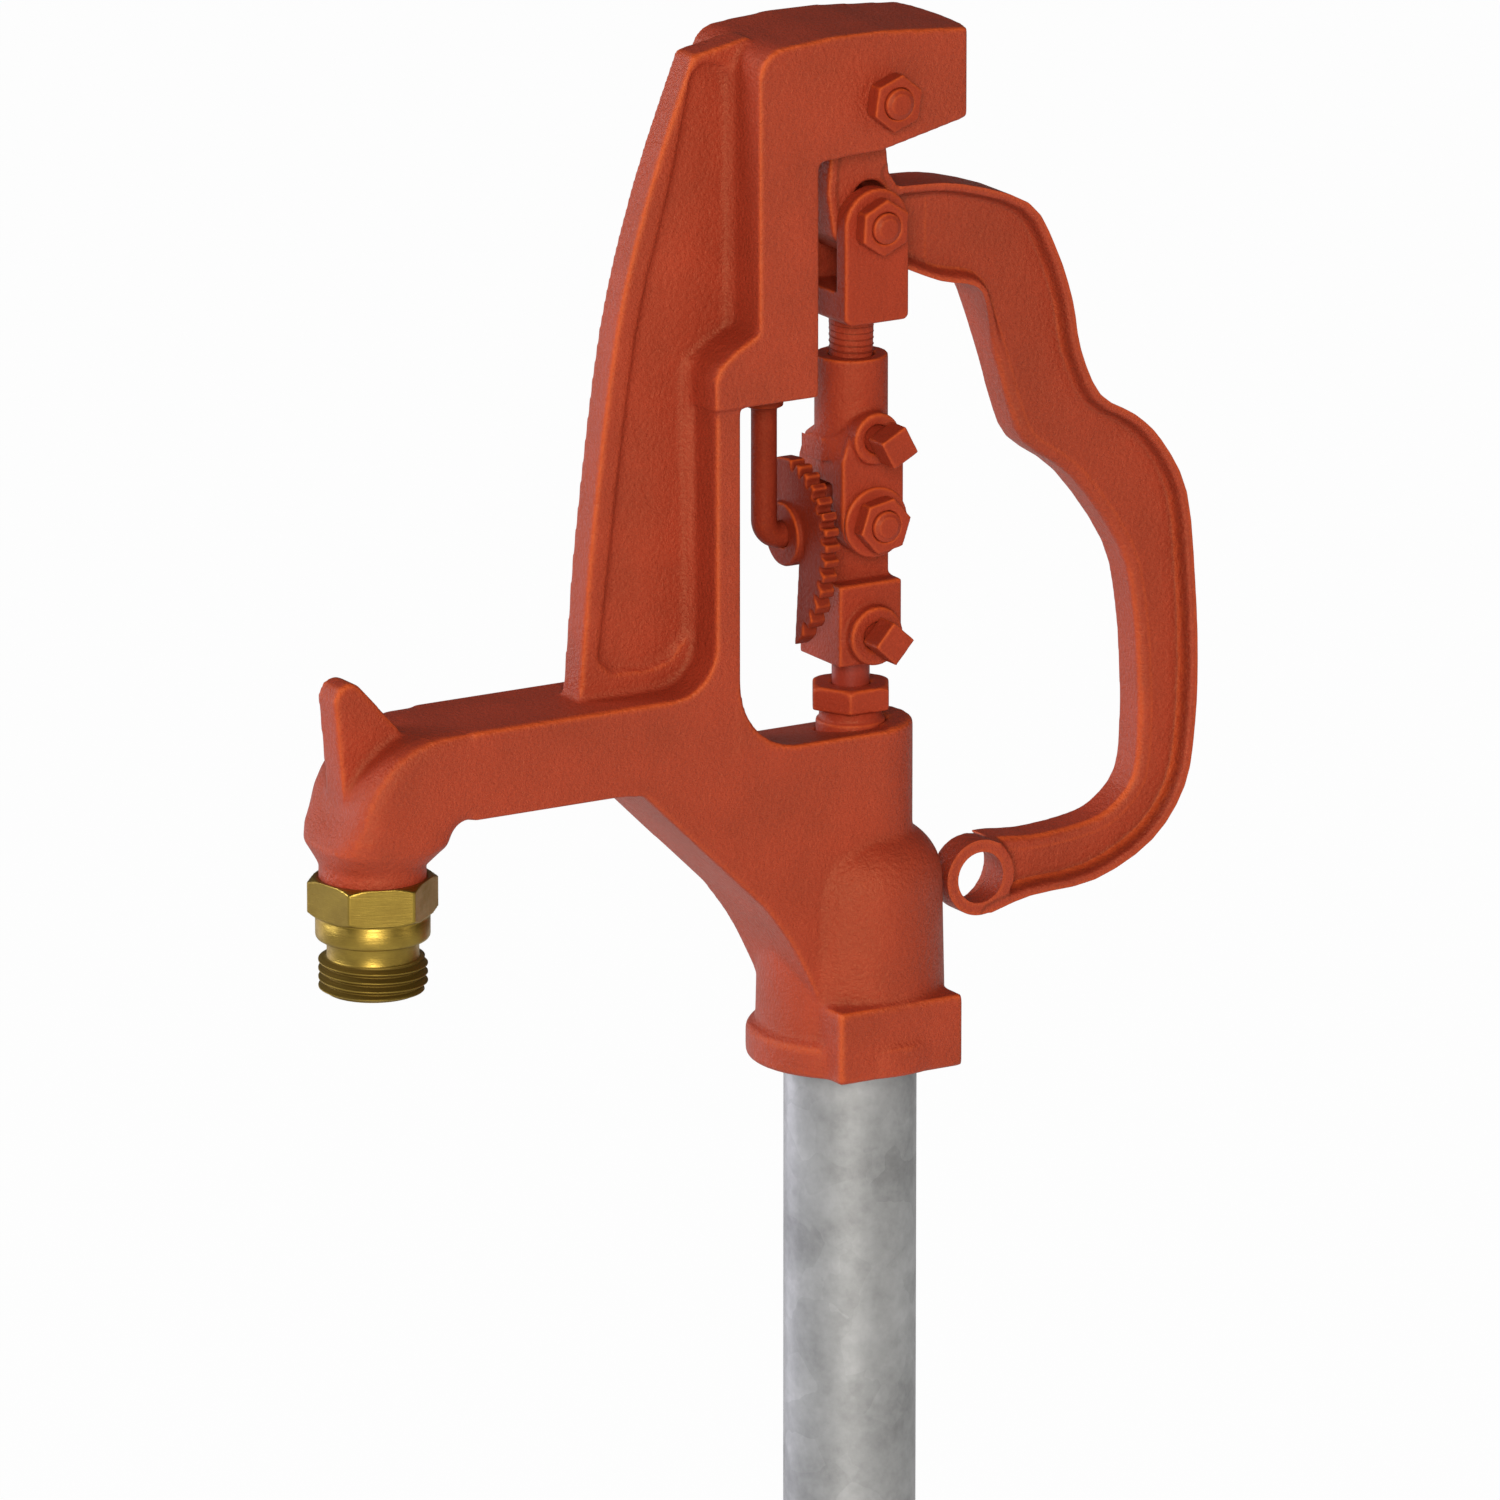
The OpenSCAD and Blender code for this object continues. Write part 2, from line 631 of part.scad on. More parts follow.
sleeve_top = fork_low - 10;
sleeve_mid = p3[1] + 21.4;
half_clevis = clevis_depth / 2;
clevis_r = 8.9;
clevis_low = p3[1] - clevis_r;
clevis_top = p3[1] + 11;
tongue_r = 8.3;
screw_end = 23.5;

module sleeve_front_shape() {
    polygon(concat(arc(p3[0], p3[1], clevis_r, 180, 360, 14),
                   [[clevis_r, clevis_top + 5], [7, clevis_top + 11], [-7, clevis_top + 11],
                    [-clevis_r, clevis_top + 5]]));
}

module link_sleeve() {
    color(iron) at_head() difference() {
        union() {
            translate([0, 0, clevis_top]) cylinder(d = sleeve_d, h = sleeve_top - clevis_top);
            slab(-half_clevis, half_clevis) sleeve_front_shape();
            bar_y([0, sleeve_mid], 13.2, -13, 0);
            translate([cam_x1, -8.6, lug_z]) cube([12, 8, 6]);
        }
        translate([0, 0, stud_low - 0.4]) cylinder(d = stud_d + 2 * run, h = 60);
        slab(-tongue_t / 2 - 0.5, tongue_t / 2 + 0.5)
            translate([-20, clevis_low - 5]) square([40, 5 + p3[1] - clevis_low + tongue_r + 1]);
        bar_y(p3, link_bolt_d + 2 * run, -20, 20);
        bar_y([0, sleeve_mid], screw_af * 0.9 + 2 * run, -20, 0);
    }
}

// square-headed screw along Y whose point bears on the bar it holds
module square_screw(z, y_tip, y_end, turn) {
    bar_y([0, z], screw_af * 0.9, y_end + 6, y_tip);
    translate([0, y_end + 7, z]) rotate([90, 0, 0]) rotate([0, 0, turn])
        cylinder(d = screw_af * sqrt(2), h = 7, $fn = 4);
}

module link_set_screw() {
    color(steel) at_head() union() square_screw(sleeve_mid, -stud_d / 2 - run, -screw_end, 73);
}

// clamp on the operating rod

clamp_top = p3[1] - 16;
clamp_low = clamp_top - clamp_h;
clamp_screw_z = clamp_low + 7.7;

module tongue_shape() {
    polygon(concat(
        arc(p3[0], p3[1], tongue_r, 0, 180, 14),
        [[-tongue_r, clamp_top - 1], [tongue_r, clamp_top - 1]]));
}

module rod_clamp() {
    color(iron) at_head() difference() {
        union() {
            translate([-clamp_w / 2, -clamp_depth / 2, clamp_low]) cube([clamp_w, clamp_depth, clamp_h]);
            slab(-tongue_t / 2, tongue_t / 2) tongue_shape();
            bar_y([0, clamp_screw_z], clamp_boss_d, -13, 0);
        }
        translate([0, 0, clamp_low - over]) cylinder(d = rod_d + 2 * run, h = clamp_h - 1.6);
        bar_y([0, clamp_screw_z], screw_af * 0.9 + 2 * run, -20, 0);
        bar_y(p3, link_bolt_d + 2 * run, -20, 20);
    }
}

module clamp_set_screw() {
    color(steel) at_head() union() square_screw(clamp_screw_z, -rod_d / 2 - run, -21.5, 3);
}

module link_bolt() {
    color(steel) at_head() union() {
        bar_y(p3, link_bolt_d, -half_clevis - 7, half_clevis + 1);
        bar_y(p3, link_bolt_d - 2.4, -half_clevis - 7.6, -half_clevis - 6);
        chamfered_hex_y(p3, link_nut_af, half_clevis + play, half_clevis + play + 5.2, 14);
    }
}

washer_t = 1.5;
washer_d = 2 * clevis_r + 0.2;

module link_washer() {
    color(zinc) at_head() difference() {
        bar_y(p3, washer_d, -half_clevis - play - washer_t, -half_clevis - play);
        bar_y(p3, link_bolt_d + 2 * run, -30, 30);
    }
}

module link_nut() {
    color(steel) at_head() difference() {
        mirror([0, 1, 0]) translate([0, play + washer_t, 0])
            chamfered_hex_y(p3, link_nut_af, half_clevis, half_clevis + 4.6, 11);
        bar_y(p3, link_bolt_d + 2 * run, -30, 30);
    }
}

// flow selector

// radius of the rim at an angle b from the top towards the front
function cam_rim(b) = b < 108 ? cam_r : cam_r + (cam_tail_r - cam_r) * pow((b - 108) / 64, 1.6);
function cam_point(b, r) = [-r * sin(b), cam_z + r * cos(b)];

module cam_shape() {
    step = 161 / cam_teeth;
    polygon(concat(
        [[6, cam_z + 2], cam_point(-24, cam_r), cam_point(-12, cam_r)],
        [for (i = [0 : cam_teeth - 1]) for (q = [[0.04, 0], [0.5, 0], [0.62, 1], [0.9, 1]])
            cam_point(step * (i + q[0]), cam_rim(step * (i + q[0])) - tooth_depth * q[1])],
        [cam_point(162, cam_rim(162)), cam_point(167, cam_rim(167)), cam_point(172, cam_tail_r),
         [-6.4, cam_z]]));
}

module flow_cam() {
    color(iron) at_head() difference() {
        union() {
            side_slab(cam_x0, cam_x1) cam_shape();
            translate([cam_x0 - 1.5, 0, cam_z]) rotate([0, 90, 0])
                cylinder(d = cam_hub_d, h = cam_t + 1.5);
        }
        translate([cam_x0 - 8, 0, cam_z]) rotate([0, 90, 0]) cylinder(d = cam_rod_d + 2 * run, h = 20);
    }
}

bend_r = 4.5;
cam_rod_end = cam_x1 + 3.6;

module cam_rod() {
    color(steel) at_head() union() {
        translate([-cam_rod_x, 0, cam_z + bend_r])
            cylinder(d = cam_rod_d, h = arm_foot_z + 13 - cam_z - bend_r);
        translate([-cam_rod_x + bend_r, 0, cam_z + bend_r]) rotate([-90, 90, 0])
            rotate_extrude(angle = 90) translate([bend_r, 0]) circle(d = cam_rod_d, $fn = 32);
        translate([-cam_rod_x + bend_r, 0, cam_z]) rotate([0, 90, 0])
            cylinder(d = cam_rod_d, h = cam_rod_end + cam_rod_x - bend_r);
        translate([-cam_rod_x, 0, arm_foot_z - 4.8 - play]) cylinder(d = cam_rod_d + 3.2, h = 4.8);
    }
}

module cam_spring() {
    color(steel) at_head() difference() {
        translate([cam_x1 + play, 0, cam_z]) rotate([0, 90, 0]) cylinder(d1 = 12, d2 = 9, h = 1.1);
        translate([cam_x1 - 1, 0, cam_z]) rotate([0, 90, 0]) cylinder(d = cam_rod_d + 2 * run, h = 6);
    }
}

module cam_retainer() {
    color(zinc) at_head() difference() {
        translate([cam_x1 + play + 1.1, 0, cam_z]) rotate([0, 90, 0]) cylinder(d = 11, h = 1.4);
        translate([cam_x1 - 1, 0, cam_z]) rotate([0, 90, 0]) cylinder(d = cam_rod_d + run, h = 6);
    }
}

// packing round the rod

nut_neck_d = 15.8;
packing_seat = ledge_z - packing_depth;
gland_low = ledge_z - 7;
packing_hex_z = ledge_z + 3.1;

module packing_nut() {
    color(brass) at_head() difference() {
        union() {
            translate([0, 0, gland_low]) cylinder(d = packing_d - 2 * run, h = ledge_z - gland_low);
            translate([0, 0, ledge_z - over]) cylinder(d = nut_neck_d, h = 3.1 + 2 * over);
            intersection() {
                translate([0, 0, packing_hex_z]) rotate([0, 0, 59])
                    cylinder(d = packing_af / cos(30), h = packing_hex_h, $fn = 6);
                translate([0, 0, packing_hex_z])
                    cylinder(d1 = packing_af + 16, d2 = packing_af * 1.02, h = packing_hex_h + 0.01);
            }
        }
        translate([0, 0, gland_low - over]) cylinder(d = rod_d + 0.16, h = 60);
    }
}

module packing_washer() {
    color(brass) at_head() difference() {
        translate([0, 0, gland_low - 1.5]) cylinder(d = packing_d - 0.3, h = 1.5);
        translate([0, 0, gland_low - 3]) cylinder(d = rod_d + 0.16, h = 5);
    }
}

module packing() {
    color(black) at_head() difference() {
        translate([0, 0, packing_seat]) cylinder(d = packing_d - 2 * run, h = gland_low - 1.5 - packing_seat);
        translate([0, 0, packing_seat - 1]) cylinder(d = rod_d + 2 * run, h = 30);
    }
}

// operating rod

rod_top = head_z + clamp_top - 3;
coupling_mid = coupling_z + coupling_h / 2;
piston_top = seat_z + 48;

module upper_rod() {
    color(zinc) translate([0, 0, coupling_mid + 0.2])
        cylinder(d = rod_d, h = rod_top - coupling_mid - 0.2);
}

module rod_coupling() {
    color(steel) difference() {
        translate([0, 0, coupling_z]) cylinder(d = coupling_d, h = coupling_h);
        translate([0, 0, coupling_z - over]) cylinder(d = rod_d + 2 * run, h = coupling_h + 2 * over);
    }
}

module lower_rod() {
    color(zinc) translate([0, 0, piston_top - 12])
        cylinder(d = rod_d, h = coupling_mid - 0.2 - piston_top + 12);
}

pipe_bore = pipe_od - 2 * pipe_wall;

module rod_guide() {
    color(nylon) translate([0, 0, guide_z]) difference() {
        union() {
            cylinder(d = rod_d + 5, h = 14);
            for (a = [0, 120, 240]) rotate([0, 0, a])
                translate([0, -1.6, 0]) cube([pipe_bore / 2 - 0.5, 3.2, 14]);
        }
        translate([0, 0, -over]) cylinder(d = rod_d + 2 * run, h = 20);
    }
}

// plunger

piston_low = seat_z + 18;
piston_d = chamber_d - 0.8;
groove_w = 2.6;
ring_d = chamber_d - 2 * run;
groove_d = chamber_d - 5;
upper_groove = piston_top - 7;
lower_groove = piston_low + 2;
stem_d = 7;
plunger_nut_af = seat_hole_d * 0.79;

module plunger_stem() {
    color(brass) difference() {
        union() {
            translate([0, 0, piston_low]) cylinder(d = piston_d, h = piston_top - piston_low);
            translate([0, 0, seat_z + 6]) cylinder(d = stem_d + 6, h = piston_low - seat_z - 5);
            translate([0, 0, seat_z - 7]) cylinder(d = stem_d, h = 14);
        }
        translate([0, 0, piston_top - 12.2]) cylinder(d = rod_d + 2 * run, h = 20);
        for (a = [45, 135, 225, 315]) rotate([0, 0, a])
            translate([8.2, 0, piston_low - over]) cylinder(d = 4.2, h = 40, $fn = 24);
        for (z = [upper_groove, lower_groove]) translate([0, 0, z]) difference() {
            cylinder(d = chamber_d + 4, h = groove_w);
            translate([0, 0, -over]) cylinder(d = groove_d, h = groove_w + 2 * over);
        }
    }
}

module o_ring(z) {
    translate([0, 0, z + 0.1]) difference() {
        cylinder(d = ring_d, h = groove_w - 0.2);
        translate([0, 0, -over]) cylinder(d = groove_d + 2 * run, h = groove_w + 2 * over);
    }
}

module upper_o_ring() {
    color(rubber_color) o_ring(upper_groove);
}

module lower_o_ring() {
    color(rubber_color) o_ring(lower_groove);
}

module plunger_rubber() {
    color(rubber_color) difference() {
        translate([0, 0, seat_z + 0.1]) cylinder(d = seat_hole_d + 7, h = 5.9);
        translate([0, 0, seat_z - over]) cylinder(d = stem_d + 2 * run, h = 12);
    }
}

module plunger_washer() {
    color(brass) difference() {
        translate([0, 0, seat_z - 1.4]) cylinder(d = seat_hole_d * 0.7, h = 1.5);
        translate([0, 0, seat_z - 4]) cylinder(d = stem_d + 2 * run, h = 8);
    }
}

module plunger_nut() {
    color(brass) difference() {
        translate([0, 0, seat_z - 5.8]) cylinder(d = plunger_nut_af / cos(30), h = 4.4, $fn = 6);
        translate([0, 0, seat_z - 9]) cylinder(d = stem_d + 2 * run, h = 12);
    }
}

// buried end

valve_top = piston_top + 36;
valve_socket = valve_top - 20;
drain_z = piston_top + 3.6;
seat_low = seat_z - 9;

module casing_pipe() {
    color(zinc) difference() {
        translate([0, 0, valve_socket]) cylinder(d = pipe_od, h = head_z + pipe_entry - valve_socket - 0.2);
        translate([0, 0, valve_socket - over]) cylinder(d = pipe_bore, h = head_z);
    }
}

module valve_body() {
    color(brass) difference() {
        union() {
            cylinder(d = valve_af / cos(30), h = 22, $fn = 6);
            translate([0, 0, 20]) cylinder(d = valve_d, h = valve_top - 20, $fn = 72);
            translate([0, 0, drain_z]) rotate([0, 90, 0]) cylinder(d = 15, h = valve_d / 2 + 3);
        }
        translate([0, 0, -over]) cylinder(d = inlet_d, h = seat_low - 2 + over);
        translate([0, 0, seat_low - 4]) cylinder(d = seat_hole_d + 2, h = 8);
        translate([0, 0, seat_low]) cylinder(d = chamber_d, h = valve_top);
        translate([0, 0, valve_socket]) cylinder(d = pipe_od + 2 * run, h = 60);
        translate([0, 0, drain_z]) rotate([0, 90, 0]) cylinder(d = 10, h = 60);
    }
}

module valve_seat() {
    color(brass) difference() {
        translate([0, 0, seat_low]) cylinder(d = chamber_d - 2 * run, h = seat_z - seat_low);
        translate([0, 0, seat_low - over]) cylinder(d = seat_hole_d, h = 20);
    }
}

module drain_fitting() {
    color(brass) translate([0, 0, drain_z]) rotate([0, 90, 0]) difference() {
        union() {
            translate([0, 0, chamber_d / 2 + 1]) cylinder(d = 10 - 2 * run, h = valve_d / 2 + 4 - chamber_d / 2);
            translate([0, 0, valve_d / 2 + 3]) cylinder(d = 12.7 / cos(30), h = 4, $fn = 6);
        }
        cylinder(d = drain_d, h = 60);
    }
}

head();
nozzle();
lever_bolt();
lever_nut();
handle();
fork();
fork_bolt();
fork_nut();
link_sleeve();
link_set_screw();
rod_clamp();
clamp_set_screw();
link_bolt();
link_washer();
link_nut();
flow_cam();
cam_rod();
cam_retainer();
cam_spring();
packing_nut();
packing_washer();
packing();
upper_rod();
rod_coupling();
lower_rod();
rod_guide();
plunger_stem();
plunger_rubber();
plunger_washer();
plunger_nut();
upper_o_ring();
lower_o_ring();
casing_pipe();
valve_body();
valve_seat();
drain_fitting();
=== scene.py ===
"""Frost-free yard hydrant: painted castings, machined brass and galvanised pipe on the frame."""

import json
import math

import bmesh
import bpy
import numpy as np
from bpy.props import FloatProperty, FloatVectorProperty, IntProperty, PointerProperty
from mathutils import Matrix, Vector


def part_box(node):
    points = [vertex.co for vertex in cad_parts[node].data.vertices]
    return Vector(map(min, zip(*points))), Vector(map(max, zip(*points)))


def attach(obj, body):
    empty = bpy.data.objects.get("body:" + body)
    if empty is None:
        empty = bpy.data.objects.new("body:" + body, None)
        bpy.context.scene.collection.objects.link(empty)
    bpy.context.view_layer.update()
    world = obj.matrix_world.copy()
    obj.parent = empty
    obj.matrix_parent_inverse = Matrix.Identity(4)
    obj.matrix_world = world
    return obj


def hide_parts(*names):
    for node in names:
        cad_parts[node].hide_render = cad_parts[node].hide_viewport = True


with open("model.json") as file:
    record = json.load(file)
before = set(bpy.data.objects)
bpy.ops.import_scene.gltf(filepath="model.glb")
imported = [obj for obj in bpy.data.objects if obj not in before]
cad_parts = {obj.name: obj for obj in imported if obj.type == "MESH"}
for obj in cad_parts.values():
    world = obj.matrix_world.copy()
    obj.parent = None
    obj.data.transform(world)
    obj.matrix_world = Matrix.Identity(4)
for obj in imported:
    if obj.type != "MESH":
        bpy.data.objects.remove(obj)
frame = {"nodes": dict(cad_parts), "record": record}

bl_info = {
    "name": "Yard hydrant dresser",
    "version": (1, 0, 0),
    "blender": (4, 5, 0),
    "location": "View3D > Sidebar > Hydrant",
    "description": "Dresses the packed yard hydrant with cast paint, brass and galvanised pipe",
    "category": "Object",
}

HEAD_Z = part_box("head")[0].z
BODY_OF = {
    node: body
    for body, nodes in frame["record"]["behaviour"]["bodies"].items()
    for node in nodes
}
LEVER_PIVOT = next(
    Vector(joint["pos_m"])
    for joint in frame["record"]["behaviour"]["joints"]
    if joint["name"] == "lever_hinge"
)

# A casting's raised edges and hollows are found by smoothing its skin this many rounds.
# The depth that counts as fully proud or sunk is a share of the mesh step.
EDGE_ROUNDS, EDGE_DEPTH = 6, 0.34
HOLLOW_ROUNDS, HOLLOW_DEPTH = 60, 2.6
CARVED_ROUNDS = 3

# Most of a noise's values lie between these two.
NOISE_LOW, NOISE_HIGH = 0.3, 0.7


class HydrantPaint(bpy.types.PropertyGroup):
    """Paint on the castings and fasteners"""

    face: FloatVectorProperty(
        name="Face", description="Paint on the broad faces", subtype="COLOR",
        size=3, min=0, max=1, default=(0.352, 0.038, 0.016))
    # Worn edges, with a painted highlight on the edges that face the lamps
    worn_edge_and_highlight: FloatVectorProperty(
        name="Worn edge and highlight", description="Thin paint along raised edges, with a painted highlight", subtype="COLOR",
        size=3, min=0, max=1, default=(0.66, 0.095, 0.014))
    # Painted shade: darker paint laid in the hollows and corners, where shade falls
    hollow_shade: FloatVectorProperty(
        name="Hollow shade", description="Painted shade in the corners", subtype="COLOR",
        size=3, min=0, max=1, default=(0.15, 0.014, 0.006))
    roughness: FloatProperty(
        name="Roughness", description="Gloss of the paint", subtype="FACTOR",
        min=0, max=1, default=0.50)
    grain: FloatProperty(
        name="Sand grain", description="Height of the casting's sand grain", unit="LENGTH",
        min=0, max=0.001, default=0.00068)


class HydrantMetal(bpy.types.PropertyGroup):
    """Bare metals, rubber and nylon"""

    brass: FloatVectorProperty(
        name="Brass", description="Machined brass", subtype="COLOR",
        size=3, min=0, max=1, default=(0.34, 0.232, 0.044))
    zinc: FloatVectorProperty(
        name="Galvanising", description="Hot-dip zinc on the riser", subtype="COLOR",
        size=3, min=0, max=1, default=(0.43, 0.435, 0.435))
    bar: FloatVectorProperty(
        name="Drawn bar", description="Bright drawn steel bar", subtype="COLOR",
        size=3, min=0, max=1, default=(0.52, 0.50, 0.47))
    rubber: FloatVectorProperty(
        name="Rubber", description="Moulded rubber and packing", subtype="COLOR",
        size=3, min=0, max=1, default=(0.025, 0.025, 0.027))
    nylon: FloatVectorProperty(
        name="Nylon", description="Moulded nylon guide", subtype="COLOR",
        size=3, min=0, max=1, default=(0.72, 0.70, 0.62))


class HydrantSizes(bpy.types.PropertyGroup):
    """Fineness of the rebuilt surfaces and of the threads"""

    head_step: FloatProperty(
        name="Head step", description="Mesh step on the head and the valve body", unit="LENGTH",
        min=0.0004, max=0.003, default=0.0007)
    lever_step: FloatProperty(
        name="Lever step", description="Mesh step on the hand lever", unit="LENGTH",
        min=0.0003, max=0.003, default=0.00042)
    small_step: FloatProperty(
        name="Small part step", description="Mesh step on links and fasteners", unit="LENGTH",
        min=0.0001, max=0.001, default=0.00034)
    casting_rounds: IntProperty(
        name="Casting softness", description="Smoothing rounds on the large castings",
        min=0, max=60, default=4)
    small_rounds: IntProperty(
        name="Small part softness", description="Smoothing rounds on links and fasteners",
        min=0, max=60, default=5)
    hose_pitch: FloatProperty(
        name="Hose thread pitch", description="Distance between turns of the hose thread",
        unit="LENGTH", min=0.001, max=0.004, default=0.00221)
    stud_pitch: FloatProperty(
        name="Stud thread pitch", description="Distance between turns on the fork stud",
        unit="LENGTH", min=0.0005, max=0.003, default=0.0016)


def new_piece(name, mesh, material, body, replaced=()):
    """Puts a mesh into the scene as a finished piece of the hydrant."""
    piece = bpy.data.objects.new(name, mesh)
    bpy.context.scene.collection.objects.link(piece)
    mesh.materials.clear()
    mesh.materials.append(material)
    for polygon in mesh.polygons:
        polygon.use_smooth = True
    if replaced:
        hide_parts(*replaced)
    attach(piece, body)
    return piece


def points_of(mesh):
    """Points of a mesh, one row each."""
    co = np.empty(len(mesh.vertices) * 3)
    mesh.vertices.foreach_get("co", co)
    return co.reshape(-1, 3)


def edges_of(mesh):
    """Edges of a mesh, as rows of two point numbers."""
    ends = np.empty(len(mesh.edges) * 2, dtype=np.int64)
    mesh.edges.foreach_get("vertices", ends)
    return ends.reshape(-1, 2)


def soften(co, ends, rounds, strength=0.6):
    """Moves every point towards the middle of its neighbours, a number of times."""
    n = len(co)
    a, b = ends[:, 0], ends[:, 1]
    share = np.maximum(np.bincount(a, minlength=n) + np.bincount(b, minlength=n), 1)
    for _ in range(rounds):
        middle = np.stack(
            [np.bincount(a, co[b, k], n) + np.bincount(b, co[a, k], n) for k in range(3)], 1)
        co = co + strength * (middle / share[:, None] - co)
    return co


def mark_relief(mesh, ends, name, rounds, depth):
    """Stores how far each point stands proud of its surroundings: 0.5 is flat, 1 a raised edge."""
    co = points_of(mesh)
    normals = np.empty(len(co) * 3)
    mesh.vertices.foreach_get("normal", normals)
    far = soften(co, ends, rounds)
    proud = ((co - far) * normals.reshape(-1, 3)).sum(1)
    relief = mesh.attributes.new(name, "FLOAT", "POINT")
    relief.data.foreach_set("value", np.clip(0.5 + 0.5 * proud / depth, 0, 1).astype(np.float32))


def cast_mesh(node, step, rounds, shape=None, extra=None, carve=None):
    """A CAD node's solid as an even skin with softened edges, as sand casting and paint leave it.

    shape moves the points of the solid, extra is a closed mesh that is cast with it, and carve
    moves the points of the fine skin and gives the painted shade on the steps of a sunk face."""
    work = frame["nodes"][node].data.copy()
    if shape:
        work.vertices.foreach_set("co", shape(points_of(work)).ravel())
    if extra:
        both = bmesh.new()
        both.from_mesh(work)
        both.from_mesh(extra)
        both.to_mesh(work)
        both.free()
    holder = bpy.data.objects.new("holder", work)
    bpy.context.scene.collection.objects.link(holder)
    skin = holder.modifiers.new("skin", "REMESH")
    skin.mode = "VOXEL"
    skin.voxel_size = step
    skin.use_smooth_shade = True
    depsgraph = bpy.context.evaluated_depsgraph_get()
    mesh = bpy.data.meshes.new_from_object(holder.evaluated_get(depsgraph))
    bpy.data.objects.remove(holder)
    bpy.data.meshes.remove(work)
    mesh.name = node + "_skin"
    ends = edges_of(mesh)
    co = soften(points_of(mesh), ends, rounds)
    mesh.vertices.foreach_set("co", co.ravel())
    mesh.update()
    # Raised edges found here get the worn-edge colour, which is partly a painted highlight
    mark_relief(mesh, ends, "edge", EDGE_ROUNDS, step * EDGE_DEPTH)
    if carve:
        co, wall = carve(co)
        mesh.vertices.foreach_set("co", soften(co, ends, CARVED_ROUNDS).ravel())
        mesh.update()
        # Painted shade on a sunk face's steps, stored for the paint
        shaded = mesh.attributes.new("wall", "FLOAT", "POINT")
        shaded.data.foreach_set("value", wall.astype(np.float32))
    # The hollows found here get painted shade
    mark_relief(mesh, ends, "hollow_shade", HOLLOW_ROUNDS, step * HOLLOW_DEPTH)
    return mesh


def smooth_step(low, high, value):
    """Rises smoothly from 0 at low to 1 at high, or falls where high is the smaller one."""
    t = np.clip((value - low) / (high - low), 0, 1)
    return t * t * (3 - 2 * t)


def turned_mesh(name, rows, radius_at, steps, loop=True):
    """Skin of a turned piece: rows of (height, tag), and the radius by height, tag and angle."""
    turn = np.arange(steps) * 2 * math.pi / steps
    points, faces = [], []
    for z, tag in rows:
        r = radius_at(z, tag, turn)
        points.append(np.stack([r * np.cos(turn), r * np.sin(turn), np.full(steps, z)], 1))
    count = len(rows)
    for i in range(count if loop else count - 1):
        j = (i + 1) % count
        for k in range(steps):
            m = (k + 1) % steps
            faces.append((i * steps + k, i * steps + m, j * steps + m, j * steps + k))
    mesh = bpy.data.meshes.new(name)
    mesh.from_pydata(np.concatenate(points).tolist(), [], faces)
    mesh.update()
    skin = bmesh.new()
    skin.from_mesh(mesh)
    bmesh.ops.recalc_face_normals(skin, faces=skin.faces)
    skin.to_mesh(mesh)
    skin.free()
    return mesh


def close_ends(mesh, steps):
    """Caps the first and the last row of a turned skin."""
    skin = bmesh.new()
    skin.from_mesh(mesh)
    skin.verts.ensure_lookup_table()
    count = len(skin.verts)
    skin.faces.new([skin.verts[i] for i in range(steps)])
    skin.faces.new([skin.verts[count - steps + i] for i in range(steps)])
    bmesh.ops.recalc_face_normals(skin, faces=skin.faces)
    skin.to_mesh(mesh)
    skin.free()


def thread_cut(z, turn, pitch, depth, flat=0.12):
    """Depth of a thread's groove at a height and an angle, with flats on its crest and root."""
    phase = np.mod(z / pitch + turn / (2 * math.pi), 1.0)
    ridge = np.abs(2 * phase - 1)
    return depth * np.clip((ridge - flat) / (1 - 2 * flat), 0, 1)


class Graph:
    """Short way to place and join shader nodes in a material or a group."""

    def __init__(self, tree):
        self.tree = tree

    def add(self, kind, **values):
        node = self.tree.nodes.new(kind)
        for key, value in values.items():
            setattr(node, key, value)
        return node

    def join(self, source, target):
        self.tree.links.new(source, target)

    def math(self, operation, a, b):
        node = self.add("ShaderNodeMath", operation=operation)
        for socket, value in zip(node.inputs, (a, b)):
            if isinstance(value, (int, float)):
                socket.default_value = value
            else:
                self.join(value, socket)
        return node.outputs[0]

    def place(self):
        """The point on the piece, in metres."""
        return self.add("ShaderNodeTexCoord").outputs["Object"]

    def attribute(self, name):
        """A value that the mesh stores at its points."""
        return self.add("ShaderNodeAttribute", attribute_name=name).outputs["Fac"]

    def noise(self, place, waves, detail=2.0, roughness=0.5):
        """Noise with a number of waves in a metre."""
        node = self.add("ShaderNodeTexNoise")
        node.inputs["Scale"].default_value = waves
        node.inputs["Detail"].default_value = detail
        node.inputs["Roughness"].default_value = roughness
        self.join(place, node.inputs["Vector"])
        return node.outputs["Fac"]

    def span(self, value, low, high, to_low=0.0, to_high=1.0):
        """Takes the stretch from low to high onto the stretch from to_low to to_high."""
        node = self.add("ShaderNodeMapRange", clamp=True)
        ends = {"From Min": low, "From Max": high, "To Min": to_low, "To Max": to_high}
        for key, number in ends.items():
            node.inputs[key].default_value = number
        self.join(value, node.inputs["Value"])
        return node.outputs["Result"]

    def mix(self, factor, a, b, blend="MIX"):
        node = self.add("ShaderNodeMix", data_type="RGBA", blend_type=blend)
        if isinstance(factor, (int, float)):
            node.inputs[0].default_value = factor
        else:
            self.join(factor, node.inputs[0])
        for socket, value in ((node.inputs[6], a), (node.inputs[7], b)):
            if isinstance(value, (tuple, list)):
                socket.default_value = (*value[:3], 1)
            else:
                self.join(value, socket)
        return node.outputs[2]


